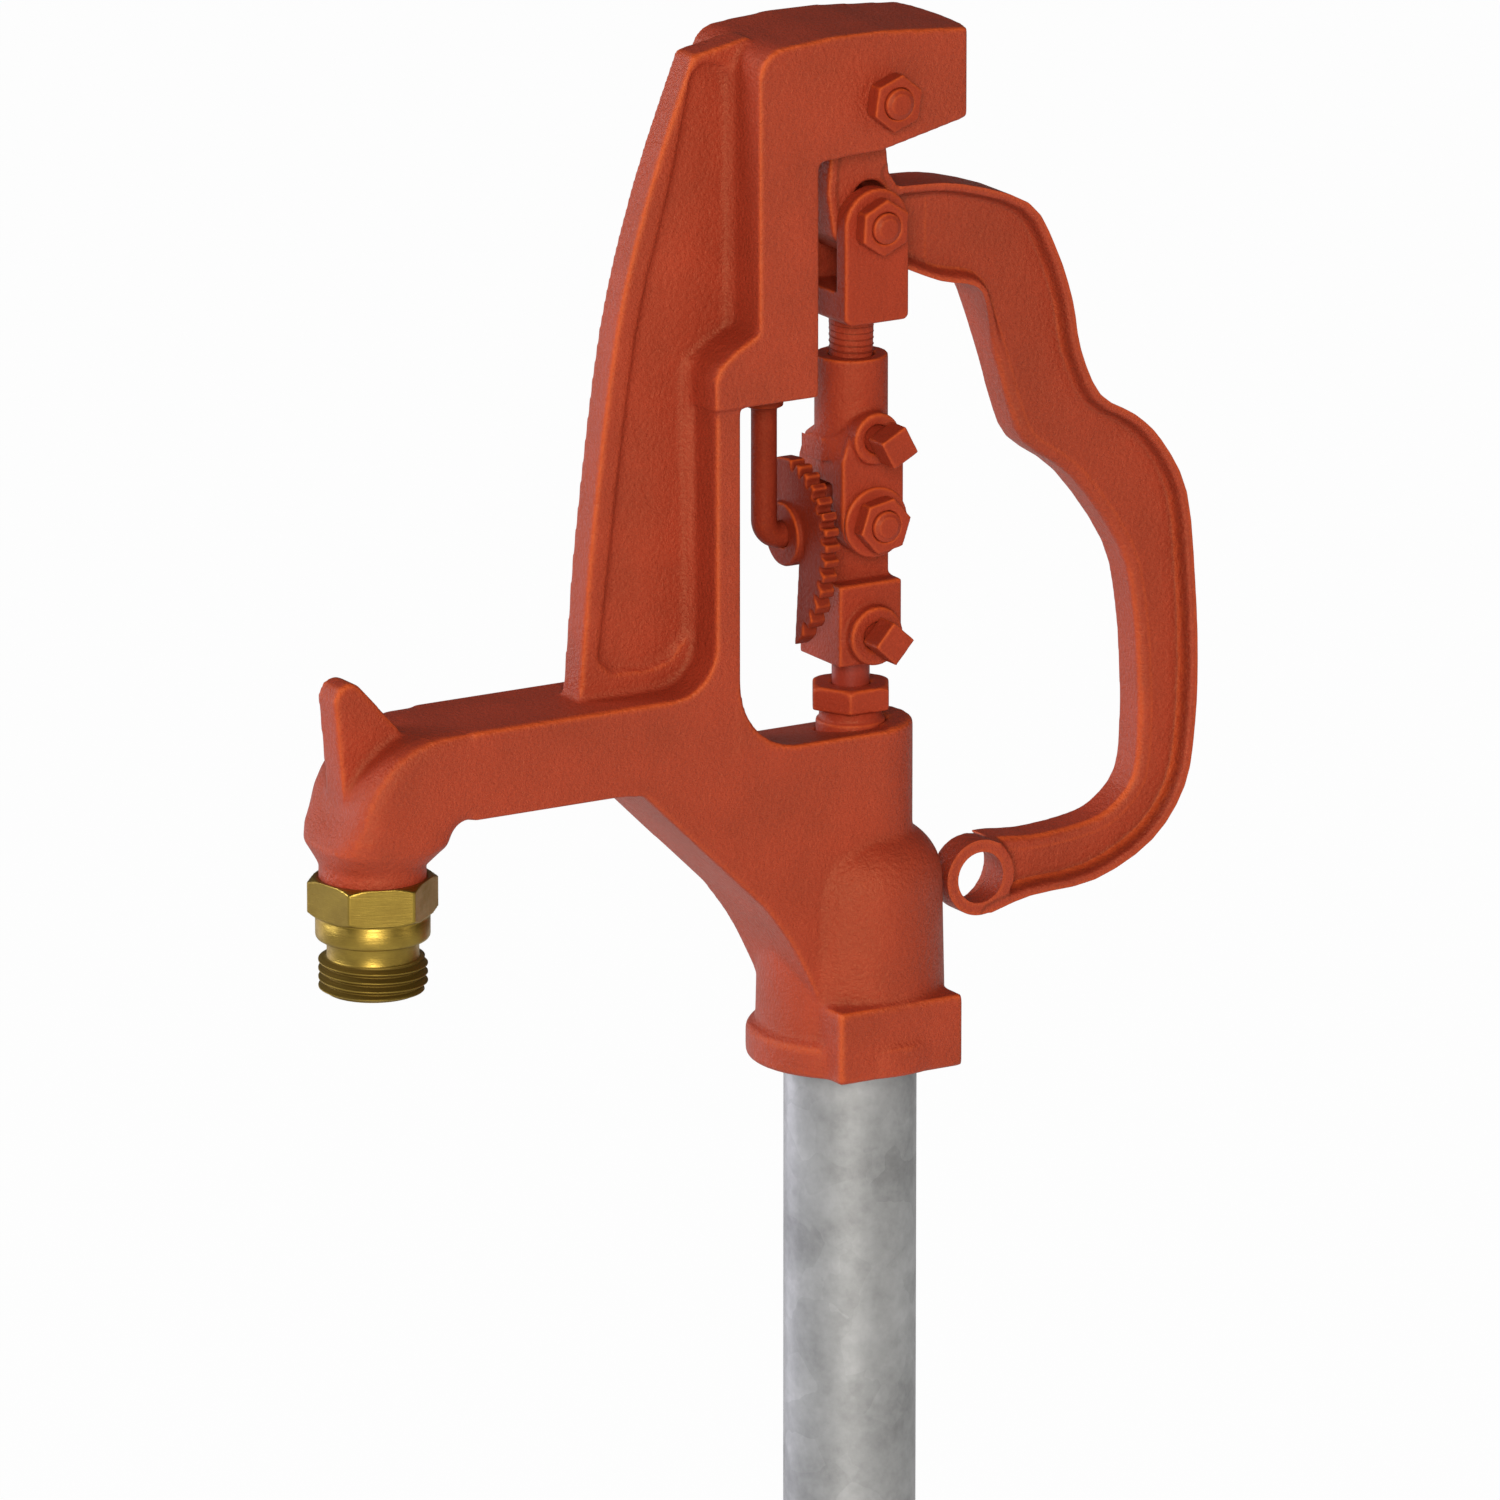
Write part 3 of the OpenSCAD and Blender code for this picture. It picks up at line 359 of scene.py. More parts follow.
def new_group(name, inputs):
    """Shader group with its own inputs that puts out a color, a roughness and a height."""
    group = bpy.data.node_groups.new(name, "ShaderNodeTree")
    for label, kind, default in inputs:
        socket = group.interface.new_socket(label, in_out="INPUT", socket_type=kind)
        socket.default_value = default
    group.interface.new_socket("Color", in_out="OUTPUT", socket_type="NodeSocketColor")
    for label in ("Roughness", "Height"):
        group.interface.new_socket(label, in_out="OUTPUT", socket_type="NodeSocketFloat")
    graph = Graph(group)
    return group, graph, graph.add("NodeGroupInput"), graph.add("NodeGroupOutput")


def cast_skin_group():
    """Sand grain, soft waviness, edge wear with a painted highlight, and painted shade in the
    hollows of a painted casting.
    """
    group, g, given, out = new_group(
        "Cast skin",
        [("Face", "NodeSocketColor", (0.4, 0.05, 0.03, 1)),
         ("Worn edge and highlight", "NodeSocketColor", (0.6, 0.12, 0.05, 1)),
         ("Hollow shade", "NodeSocketColor", (0.2, 0.03, 0.02, 1)),
         ("Gloss", "NodeSocketFloat", 0.45),
         ("Grain", "NodeSocketFloat", 0.0002)])
    sand_waves, fine_waves, cloud_waves = 900.0, 2400.0, 55.0
    sand_height, fine_height, cloud_height = 0.7, 0.25, 1.2
    painted_light_side = (-0.45, -0.45, 0.77)  # painted highlight: edges that face up, forward and to the spout's side, towards the lamps, get the most worn-edge colour
    ragged, least_lit, wear_and_highlight_cover, hollow_shade_cover = 0.07, 0.05, 0.6, 0.6
    pale, dark = (1.08, 1.08, 1.08), (0.90, 0.90, 0.90)
    pale_speck, dark_speck = (1.06, 1.10, 1.10), (0.93, 0.90, 0.90)

    place = g.place()
    edge_relief = g.attribute("edge")
    wide_relief = g.attribute("hollow_shade")
    sand = g.noise(place, sand_waves, 3.0, 0.62)
    fine = g.noise(place, fine_waves, 2.0, 0.6)
    cloud = g.noise(place, cloud_waves, 3.0, 0.55)

    broken = g.math("ADD", edge_relief, g.span(sand, NOISE_LOW, NOISE_HIGH, -ragged, ragged))
    # Painted highlight: the worn-edge colour is partly real wear on raised edges and partly light,
    # laid most on edges that face the lamps
    facing = g.add("ShaderNodeVectorMath", operation="DOT_PRODUCT")
    g.join(g.add("ShaderNodeNewGeometry").outputs["Normal"], facing.inputs[0])
    facing.inputs[1].default_value = painted_light_side
    facing_light = g.span(facing.outputs["Value"], 0.2, 0.8, least_lit, 1.0)
    edge = g.math("MULTIPLY", g.span(broken, 0.60, 0.95), facing_light)
    # Painted shade in the hollows and on the steps of the lever's sunk face
    hollow_shade = g.math("MAXIMUM", g.span(wide_relief, 0.45, 0.0), g.attribute("wall"))

    tone = g.mix(g.span(cloud, NOISE_LOW, NOISE_HIGH), dark, pale)
    speck = g.mix(g.span(fine, 0.35, 0.65), dark_speck, pale_speck)
    face = g.mix(1.0, g.mix(1.0, given.outputs["Face"], tone, "MULTIPLY"), speck, "MULTIPLY")
    face = g.mix(g.math("MULTIPLY", hollow_shade, hollow_shade_cover), face, given.outputs["Hollow shade"])
    face = g.mix(g.math("MULTIPLY", edge, wear_and_highlight_cover), face, given.outputs["Worn edge and highlight"])
    g.join(face, out.inputs["Color"])

    sheen = g.span(sand, NOISE_LOW, NOISE_HIGH, -0.05, 0.07)
    g.join(g.math("ADD", given.outputs["Gloss"], sheen), out.inputs["Roughness"])
    height = g.math(
        "ADD", g.math("MULTIPLY", sand, sand_height), g.math("MULTIPLY", fine, fine_height))
    height = g.math("ADD", height, g.math("MULTIPLY", cloud, cloud_height))
    g.join(g.math("MULTIPLY", height, given.outputs["Grain"]), out.inputs["Height"])
    return group


def machined_group():
    """Fine turning marks, dull patches and painted shade on bare metal."""
    group, g, given, out = new_group(
        "Machined metal",
        [("Metal", "NodeSocketColor", (0.5, 0.4, 0.1, 1)),
         ("Dull", "NodeSocketColor", (0.2, 0.15, 0.05, 1)),
         ("Gloss", "NodeSocketFloat", 0.3),
         ("Marks", "NodeSocketFloat", 0.00004)])
    ring_squash = (0.15, 0.15, 9.0)
    mark_waves, patch_waves = 700.0, 130.0
    groove_shade_strength, dull_cover, dull_roughness = 1.6, 0.6, 0.18

    place = g.place()
    squash = g.add("ShaderNodeMapping")
    squash.inputs["Scale"].default_value = ring_squash
    g.join(place, squash.inputs["Vector"])
    lines = g.noise(squash.outputs["Vector"], mark_waves, 2.0, 0.5)
    patch = g.noise(place, patch_waves, 4.0, 0.6)
    # Painted shade: where a mesh marks its grooves, the dull colour is laid on as shade
    groove_shade = g.math("MULTIPLY", g.attribute("groove_shade"), groove_shade_strength)
    dull = g.math("MAXIMUM", g.span(patch, 0.42, 0.72), groove_shade)

    cover = g.math("MULTIPLY", dull, dull_cover)
    g.join(g.mix(cover, given.outputs["Metal"], given.outputs["Dull"]), out.inputs["Color"])
    rough = g.math("ADD", given.outputs["Gloss"], g.math("MULTIPLY", dull, dull_roughness))
    streaks = g.span(lines, NOISE_LOW, NOISE_HIGH, -0.04, 0.05)
    g.join(g.math("ADD", rough, streaks), out.inputs["Roughness"])
    g.join(g.math("MULTIPLY", lines, given.outputs["Marks"]), out.inputs["Height"])
    return group


def new_material(name, roughness, metallic):
    """Material with a plain Principled shader, ready for its own pattern."""
    material = bpy.data.materials.new(name)
    material.use_nodes = True
    graph = Graph(material.node_tree)
    shader = material.node_tree.nodes["Principled BSDF"]
    shader.inputs["Roughness"].default_value = roughness
    shader.inputs["Metallic"].default_value = metallic
    return material, graph, shader


def bump(graph, shader, height):
    """Raises a shader's surface by a height in metres."""
    node = graph.add("ShaderNodeBump")
    node.inputs["Strength"].default_value = 1.0
    node.inputs["Distance"].default_value = 1.0
    graph.join(height, node.inputs["Height"])
    graph.join(node.outputs["Normal"], shader.inputs["Normal"])


def join_group(graph, shader, skin):
    """Joins a shared group's color, roughness and height to a shader."""
    graph.join(skin.outputs["Color"], shader.inputs["Base Color"])
    graph.join(skin.outputs["Roughness"], shader.inputs["Roughness"])
    bump(graph, shader, skin.outputs["Height"])


def paint_material(name, look, group, shade=1.0, grain=1.0, gloss=0.6):
    """Sprayed paint, darker on some small parts (on the selector as painted shade), with a finer
    grain or less sheen.
    """
    warm_sheen = (1.0, 0.66, 0.36, 1)
    material, g, shader = new_material(name, look.roughness, metallic=0.0)
    shader.inputs["Specular IOR Level"].default_value = gloss
    shader.inputs["Specular Tint"].default_value = warm_sheen
    skin = g.add("ShaderNodeGroup", node_tree=group)
    for label, color in (("Face", look.face), ("Hollow shade", look.hollow_shade)):
        skin.inputs[label].default_value = (*[c * shade for c in color], 1)
    skin.inputs["Worn edge and highlight"].default_value = (*look.worn_edge_and_highlight, 1)
    skin.inputs["Gloss"].default_value = look.roughness
    skin.inputs["Grain"].default_value = look.grain * grain
    join_group(g, shader, skin)
    return material


def metal_material(name, group, color, dull, gloss, marks):
    """Bare metal with its bright and its dull color, and the height of its turning marks."""
    material, g, shader = new_material(name, gloss, metallic=1.0)
    skin = g.add("ShaderNodeGroup", node_tree=group)
    skin.inputs["Metal"].default_value = (*color, 1)
    skin.inputs["Dull"].default_value = (*dull, 1)
    skin.inputs["Gloss"].default_value = gloss
    skin.inputs["Marks"].default_value = marks
    join_group(g, shader, skin)
    return material


def tinted(color, shade):
    """A color made darker or lighter, held within white."""
    return tuple(min(c * shade, 1) for c in color)


def galvanised_material(look):
    """Hot-dip zinc: cloudy spangle with soft grain borders."""
    warp_waves, warp_reach, flake_cells = 60.0, 0.012, 95.0
    cloud_waves, blotch_waves, fine_waves = 48.0, 150.0, 500.0
    flake_share, cloud_share, blotch_share, fine_share = 0.10, 0.75, 0.30, 0.16
    dark_shade, light_shade, relief = 0.62, 1.28, 0.00005

    material, g, shader = new_material("galvanised pipe", roughness=0.42, metallic=0.85)
    place = g.place()
    shifted = g.add("ShaderNodeVectorMath", operation="MULTIPLY_ADD")
    g.join(g.noise(place, warp_waves, 3.0, 0.55), shifted.inputs[0])
    shifted.inputs[1].default_value = (warp_reach, warp_reach, warp_reach)
    g.join(place, shifted.inputs[2])
    flake = g.add("ShaderNodeTexVoronoi", feature="F1")
    flake.inputs["Scale"].default_value = flake_cells
    flake.inputs["Randomness"].default_value = 1.0
    g.join(shifted.outputs[0], flake.inputs["Vector"])
    tint = g.add("ShaderNodeSeparateColor")
    g.join(flake.outputs["Color"], tint.inputs["Color"])

    fine = g.noise(place, fine_waves, 3.0, 0.6)
    tone = g.math("MULTIPLY", tint.outputs[0], flake_share)
    for pattern, share in (
            (g.noise(place, cloud_waves, 5.0, 0.62), cloud_share),
            (g.noise(place, blotch_waves, 4.0, 0.6), blotch_share),
            (fine, fine_share)):
        tone = g.math("ADD", tone, g.math("MULTIPLY", pattern, share))
    dark, light = tinted(look.zinc, dark_shade), tinted(look.zinc, light_shade)
    g.join(g.mix(g.span(tone, 0.45, 0.95), dark, light), shader.inputs["Base Color"])
    g.join(g.span(tone, 0.4, 1.0, 0.50, 0.38), shader.inputs["Roughness"])
    bump(g, shader, g.math("MULTIPLY", g.math("ADD", tone, fine), relief))
    return material


def moulded_material(name, color, roughness, waves):
    """Rubber, packing or nylon: a plain color with faint clouds and a faint relief."""
    relief, gloss_change = 0.00006, 0.06
    material, g, shader = new_material(name, roughness, metallic=0.0)
    cloud = g.noise(g.place(), waves, 4.0, 0.6)
    g.join(g.mix(cloud, tinted(color, 0.8), tinted(color, 1.2)), shader.inputs["Base Color"])
    sheen = g.span(
        cloud, NOISE_LOW, NOISE_HIGH, roughness - gloss_change, roughness + gloss_change)
    g.join(sheen, shader.inputs["Roughness"])
    bump(g, shader, g.math("MULTIPLY", cloud, relief))
    return material


def oversprayed_bar(look, paint):
    """Bright bar, painted over the length that showed when the castings were sprayed."""
    bottom, top = HEAD_Z + 0.088, HEAD_Z + 0.106
    raggedness, fade, relief = 0.0012, 0.0006, 0.00006
    material, g, shader = new_material("oversprayed bar", roughness=0.35, metallic=1.0)
    shader.inputs["Specular IOR Level"].default_value = 0.3
    place = g.place()
    split = g.add("ShaderNodeSeparateXYZ")
    g.join(place, split.inputs[0])
    stray = g.span(g.noise(place, 700.0, 3.0), 0.2, 0.8, -raggedness, raggedness)
    ragged = g.math("ADD", split.outputs["Z"], stray)
    painted = g.math(
        "MULTIPLY", g.span(ragged, bottom, bottom + fade), g.span(ragged, top + fade, top))
    speck = g.noise(place, 1800.0, 2.0)
    # Painted shade: the overspray is a darker copy of the casting paint, speckled at random
    shaded_red = g.mix(speck, tinted(paint.face, 0.6), tinted(paint.face, 0.95))
    g.join(g.mix(painted, tuple(look.bar), shaded_red), shader.inputs["Base Color"])
    g.join(g.math("SUBTRACT", 1.0, painted), shader.inputs["Metallic"])
    g.join(g.span(painted, 0.0, 1.0, 0.3, 0.45), shader.inputs["Roughness"])
    bump(g, shader, g.math("MULTIPLY", speck, relief))
    return material


def finishes():
    """Every finish of the hydrant by its name, made the first time that one is asked for."""
    if "cast paint" in bpy.data.materials:
        return {m.name: m for m in bpy.data.materials}
    paint = bpy.context.scene.hydrant_paint
    metal = bpy.context.scene.hydrant_metal
    skin = cast_skin_group()
    turned = machined_group()
    paint_material("cast paint", paint, skin)
    paint_material("forged paint", paint, skin, shade=0.94, grain=0.8, gloss=0.35)
    paint_material("fastener paint", paint, skin, shade=0.92, grain=0.45, gloss=0.35)
    # Painted shade: the selector's paint is a darker copy for the shade it stands in behind the
    # post
    paint_material("selector paint", paint, skin, shade=0.62, grain=0.6, gloss=0.15)
    metal_material("turned brass", turned, metal.brass,
                   dull=(0.20, 0.132, 0.028), gloss=0.36, marks=0.00006)
    metal_material("cast bronze", turned, (0.36, 0.25, 0.09),
                   dull=(0.14, 0.10, 0.04), gloss=0.48, marks=0.00012)
    metal_material("bright drawn bar", turned, metal.bar,
                   dull=(0.30, 0.28, 0.25), gloss=0.28, marks=0.00003)
    galvanised_material(metal)
    moulded_material("moulded rubber", metal.rubber, roughness=0.62, waves=420.0)
    moulded_material("graphite packing", (0.035, 0.034, 0.032), roughness=0.55, waves=900.0)
    moulded_material("moulded nylon", metal.nylon, roughness=0.42, waves=260.0)
    oversprayed_bar(metal, paint)
    return {m.name: m for m in bpy.data.materials}


def cast_piece(node, finish, step, rounds, **changes):
    """Replaces a CAD node by its softened skin."""
    return new_piece(
        node + "_cast", cast_mesh(node, step, rounds, **changes), finishes()[finish],
        BODY_OF[node], (node,))


def dress(node, finish):
    """Gives a carried-over CAD node its finish."""
    solid = frame["nodes"][node]
    solid.data.materials.clear()
    solid.data.materials.append(finishes()[finish])


def slim_fin(co):
    """Thins the head's bail hook fin to its cast thickness."""
    half_thickness, cast_share, tolerance = 0.0055, 0.82, 0.0002
    fin_right, fin_foot = -0.112, HEAD_Z + 0.080
    side = np.abs(np.abs(co[:, 1]) - half_thickness) < tolerance
    side &= (co[:, 0] < fin_right) & (co[:, 2] > fin_foot)
    co[side, 1] *= cast_share
    return co


def slim_stud(co):
    """Brings the fork's stud down to its root, because its thread is a piece of its own."""
    stud_top, root_share = HEAD_Z + 0.1904, 0.8
    stud = co[:, 2] < stud_top
    co[stud, :2] *= root_share
    return co


def trim_sleeve(co):
    """Sets the sleeve's selector lug and the shoulder at its top where the casting has them."""
    sleeve_left, lug_left, lug_drop = -0.0092, -0.0102, 0.0026
    lug_middle, lug_front, lug_back = -0.005, -0.003, 0.0072
    lug = co[:, 0] < sleeve_left
    co[lug, 0] = lug_left
    co[lug, 2] -= lug_drop
    front = lug & (co[:, 1] < lug_middle)
    back = lug & (co[:, 1] > lug_middle)
    co[front, 1] = lug_front
    co[back, 1] = lug_back
    shoulder_front, shoulder_foot, sleeve_radius = 0.008, HEAD_Z + 0.155, 0.0098
    shoulder_drop = 0.0028
    shoulder = (co[:, 1] > shoulder_front) & (co[:, 2] > shoulder_foot)
    shoulder &= np.hypot(co[:, 0], co[:, 1]) > sleeve_radius
    co[shoulder, 2] -= shoulder_drop
    return co


def window_fillet():
    """Wedge with a hollow arc that rounds the low left corner of the head's window, as cast."""
    left, radius, half_body, overlap = -0.0408, 0.017, 0.0159, 0.001
    front_floor, back_floor = HEAD_Z + 0.0871, HEAD_Z + 0.0823
    steps = 14
    points, faces = [], []
    for y, floor in ((-half_body, front_floor), (half_body, back_floor)):
        points.append((left - overlap, y, floor - overlap))
        for i in range(steps + 1):
            turn = math.radians(180 + 90 * i / steps)
            points.append((
                left + radius + radius * math.cos(turn), y,
                floor + radius + radius * math.sin(turn)))
        points.append((left + radius, y, floor - overlap))
        points.append((left - overlap, y, floor + radius))
    count = steps + 4
    ring = [0, count - 2, *range(steps + 1, 0, -1), count - 1]
    faces.append(ring)
    faces.append([count + i for i in reversed(ring)])
    for a, b in zip(ring, ring[1:] + ring[:1]):
        faces.append((b, a, count + a, count + b))
    mesh = bpy.data.meshes.new("window_fillet")
    mesh.from_pydata(points, [], faces)
    mesh.update()
    return mesh


def lever_front_edges():
    """Front edges of the lever's outer and inner walls, as pairs of points in the lever's plane."""
    mesh = frame["nodes"]["handle"].data
    within_bend = Vector((0.035, 0, HEAD_Z + 0.125))
    front_face, back_face = -0.0074, 0.006
    outer, inner = [], []
    for polygon in mesh.polygons:
        corners = [mesh.vertices[i].co for i in polygon.vertices]
        ahead = [c for c in corners if c.y < front_face]
        if len(ahead) == 2 and max(c.y for c in corners) > back_face:
            outward = polygon.normal.dot((ahead[0] + ahead[1]) / 2 - within_bend) > 0
            (outer if outward else inner).append([(c.x, c.z) for c in ahead])
    return np.array(outer), np.array(inner)


def distance_to_edges(points, edges):
    """Distance of each point from the nearest of some straight edges, in one plane."""
    best = np.full(len(points), np.inf)
    for start, end in edges:
        along = end - start
        t = np.clip(((points - start) @ along) / max(along @ along, 1e-12), 0, 1)
        best = np.minimum(best, np.linalg.norm(points - start - t[:, None] * along, axis=1))
    return best


def round_drop(distance, radius):
    """How far a quarter round lies below its top, at a distance from its edge."""
    inside = radius - np.clip(distance, 0, radius)
    return radius - np.sqrt(radius * radius - inside * inside)


def sink_lever_face(co):
    """Sinks the lever's front face behind its outer rim, and behind the inner rim near the fork.

    The foot of the rim is filleted and the free inner edge is rounded."""
    outer, inner = lever_front_edges()
    place = co[:, (0, 2)]
    pivot = np.array((LEVER_PIVOT.x, LEVER_PIVOT.z))
    right_of_pivot, above_pivot = place[:, 0] - pivot[0], place[:, 1] - pivot[1]
    front, back, floor, panel = -0.0075, 0.0075, -0.0031, -0.0056
    rim, fillet, edge_round = 0.0027, 0.0014, 0.0022
    inner_rim, inner_rim_blend, fork_shade = 0.0018, 0.0006, 0.3
    lug_right, eye, eye_radius = 0.009, (0.0332, -0.2057), 0.0100

    # The solid's front, with its own shallow panel, is brought level before it is carved.
    co[(co[:, 1] < panel) & (place[:, 0] > pivot[0] + lug_right), 1] = front

    from_outer, from_inner = distance_to_edges(place, outer), distance_to_edges(place, inner)
    share = smooth_step(rim - 0.0005, rim, from_outer)
    past_inner_rim = smooth_step(inner_rim, inner_rim + inner_rim_blend, from_inner)
    low = smooth_step(-0.052, -0.074, above_pivot)
    share *= past_inner_rim + (1 - past_inner_rim) * low
    share *= smooth_step(lug_right - 0.0005, lug_right + 0.0015, right_of_pivot)
    from_eye = np.linalg.norm(place - pivot - eye, axis=1)
    share *= smooth_step(eye_radius, eye_radius + 0.0012, from_eye)

    face = floor - round_drop(from_outer - rim, fillet) + low * round_drop(from_inner, edge_round)
    pressed = back - (back - co[:, 1]) * (back - face) / (back - front)

    # Painted shade on the step down from the rim, and a little of it on the sunk face near the
    # fork.
    front_half = smooth_step(0.0, -0.003, co[:, 1])
    wall = smooth_step(rim - 0.0009, rim - 0.0005, from_outer)
    wall *= smooth_step(rim + 0.0004, rim, from_outer) * front_half
    near_fork = fork_shade * smooth_step(-0.150, -0.060, above_pivot) * front_half
    wall = np.maximum(wall, near_fork * share)
    co[:, 1] += share * (pressed - co[:, 1])
    return co, wall


class HYDRANT_OT_castings(bpy.types.Operator):
    """Skins the head and the hand lever as painted sand castings"""

    bl_idname = "hydrant.castings"
    bl_label = "Head and lever castings"

    def execute(self, context):
        size = context.scene.hydrant_sizes
        fillet = window_fillet()
        cast_piece(
            "head", "cast paint", size.head_step, size.casting_rounds,
            shape=slim_fin, extra=fillet)
        bpy.data.meshes.remove(fillet)
        cast_piece(
            "handle", "cast paint", size.lever_step, size.casting_rounds, carve=sink_lever_face)
        return {"FINISHED"}


class HYDRANT_OT_linkage(bpy.types.Operator):
    """Skins the fork, sleeve and clamp and cuts the stud's thread"""

    bl_idname = "hydrant.linkage"
    bl_label = "Fork, sleeve and clamp"

    def execute(self, context):
        size = context.scene.hydrant_sizes
        forged_step = size.small_step * 1.2
        for node, shape in (
                ("fork", slim_stud), ("link_sleeve", trim_sleeve), ("rod_clamp", None)):
            cast_piece(node, "forged paint", forged_step, size.small_rounds, shape=shape)

        crest, depth, around = 0.00562, 0.00085, 96
        foot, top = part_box("fork")[0].z + 0.004, HEAD_Z + 0.1915
        rows = [(float(z), "thread") for z in np.linspace(foot, top, 200)]

        def radius(z, tag, turn):
            return crest - thread_cut(z, turn, size.stud_pitch, depth)

        mesh = turned_mesh("stud_thread", rows, radius, around, loop=False)
        close_ends(mesh, around)
        new_piece("stud_thread", mesh, finishes()["fastener paint"], "link")
        return {"FINISHED"}


class HYDRANT_OT_fasteners(bpy.types.Operator):
    """Skins the bolts, nuts, washer and square screws as painted fasteners"""

    bl_idname = "hydrant.fasteners"
    bl_label = "Bolts, nuts and screws"

    def execute(self, context):
        size = context.scene.hydrant_sizes
        for node in ("lever_bolt", "lever_nut", "fork_bolt", "fork_nut",
                     "link_bolt", "link_washer", "link_nut",
                     "link_set_screw", "clamp_set_screw", "packing_nut"):
            cast_piece(node, "fastener paint", size.small_step, size.small_rounds)
        return {"FINISHED"}


class HYDRANT_OT_selector(bpy.types.Operator):
    """Skins the toothed flow selector and the bent rod that carries it"""

    bl_idname = "hydrant.selector"
    bl_label = "Flow selector"

    def execute(self, context):
        size = context.scene.hydrant_sizes
        cast_piece("flow_cam", "selector paint", size.small_step, size.small_rounds)
        cast_piece("cam_rod", "selector paint", size.small_step, size.small_rounds)
        thin_step, thin_rounds = size.small_step * 0.6, 3
        for node in ("cam_spring", "cam_retainer"):
            cast_piece(node, "fastener paint", thin_step, thin_rounds)
        return {"FINISHED"}


class HYDRANT_OT_nozzle(bpy.types.Operator):
    """Turns the brass hose nozzle with its hexagon, ring, neck and hose thread"""

    bl_idname = "hydrant.nozzle"
    bl_label = "Hose nozzle"

    def execute(self, context):
        pitch = context.scene.hydrant_sizes.hose_pitch
        low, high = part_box("nozzle")
        axis_x = (low.x + high.x) / 2
        top, foot = high.z, low.z
        ring_top, ring_low, neck_low = top - 0.0094, top - 0.0157, top - 0.0204
        hex_half, hex_chamfer, hex_turn = 0.0142, 0.0146, 39.4
        ring, groove, bead, neck = 0.0142, 0.01385, 0.0012, 0.0114
        crest, thread_depth, root, lead_in = 0.0135, 0.0016, 0.0115, 0.0121
        mouth, bore, seat, seat_floor = 0.0096, 0.009, 0.01342, top - 0.0116
        hex_slope, thread_slope, around = 1.7, 1.1, 288

        def radius(z, tag, turn):
            if isinstance(tag, float):
                return np.full_like(turn, tag)
            if tag == "hex":
                lean = np.mod(np.degrees(turn) - hex_turn, 60.0) - 30.0
                flat = hex_half / np.cos(np.radians(lean))
                from_end = min(top - z, (z - ring_top) * 0.9 + 0.0002)
                return np.minimum(flat, hex_chamfer + from_end * hex_slope)
            rising = min(crest, lead_in + (z - foot) * thread_slope)
            return np.maximum(rising - thread_cut(z, turn, pitch, thread_depth), root)

        rows = [(top, seat), (top, hex_half)]
        rows += [(float(z), "hex") for z in np.linspace(top, ring_top, 34)]
        rows += [(ring_top - 0.0001, 0.0141), (ring_top - 0.0006, groove),
                 (ring_top - 0.0009, ring)]
        rows += [(ring_low + bead - bead * math.sin(a), ring - bead + bead * math.cos(a))
                 for a in np.radians((0, 22, 45, 68, 90))]
        rows += [(ring_low, 0.0117), (ring_low - 0.0004, neck),
                 (neck_low + 0.0004, neck), (neck_low, 0.0116)]
        rows += [(float(z), "thread") for z in np.linspace(neck_low - 0.0002, foot, 110)]
        rows += [(foot, 0.0113), (foot + 0.0002, mouth), (foot + 0.0012, bore),
                 (seat_floor, bore), (seat_floor, seat)]
        mesh = turned_mesh("nozzle_turned", rows, radius, around)

        # Painted shade: the hose thread is darkened, most in its grooves and less on its crests.
        co = points_of(mesh)
        threaded = smooth_step(neck_low + 0.0004, neck_low - 0.0004, co[:, 2])
        on_crest = smooth_step(0.0120, crest, np.hypot(co[:, 0], co[:, 1]))
        groove_shade = mesh.attributes.new("groove_shade", "FLOAT", "POINT")
        groove_shade.data.foreach_set("value", (threaded * (1 - 0.35 * on_crest)).astype(np.float32))
        mesh.transform(Matrix.Translation(Vector((axis_x, 0, 0))))
        new_piece(
            "nozzle_turned", mesh, finishes()["turned brass"], "standpipe", ("nozzle",))
        return {"FINISHED"}


class HYDRANT_OT_riser(bpy.types.Operator):
    """Finishes the galvanised riser, the operating rod, its guide and the gland's packing"""

    bl_idname = "hydrant.riser"
    bl_label = "Riser, rod and gland"

    def execute(self, context):
        for node, finish in (
                ("casing_pipe", "galvanised pipe"), ("upper_rod", "oversprayed bar"),
                ("lower_rod", "bright drawn bar"), ("rod_coupling", "bright drawn bar"),
                ("rod_guide", "moulded nylon"), ("packing", "graphite packing"),
                ("packing_washer", "turned brass")):
            dress(node, finish)
        return {"FINISHED"}


class HYDRANT_OT_valve(bpy.types.Operator):
    """Finishes the buried valve body and the plunger inside it"""

    bl_idname = "hydrant.valve"
    bl_label = "Buried valve"

    def execute(self, context):
        size = context.scene.hydrant_sizes
        cast_piece("valve_body", "cast bronze", size.head_step, size.casting_rounds)
        for node in ("valve_seat", "drain_fitting",
                     "plunger_stem", "plunger_washer", "plunger_nut"):
            dress(node, "turned brass")
        for node in ("plunger_rubber", "upper_o_ring", "lower_o_ring"):
            dress(node, "moulded rubber")
        return {"FINISHED"}


def area_lamp(name, place, target, power, size, color):
    """Round studio lamp of a power in watts and a width in metres, turned to its target."""
    lamp = bpy.data.lights.new(name, "AREA")
    lamp.energy = power
    lamp.color = color
    lamp.shape = "DISK"
    lamp.size = size
    holder = bpy.data.objects.new(name, lamp)
    holder.location = place
    holder.rotation_mode = "QUATERNION"
    holder.rotation_quaternion = (Vector(target) - Vector(place)).to_track_quat("-Z", "Y")
    bpy.context.scene.collection.objects.link(holder)


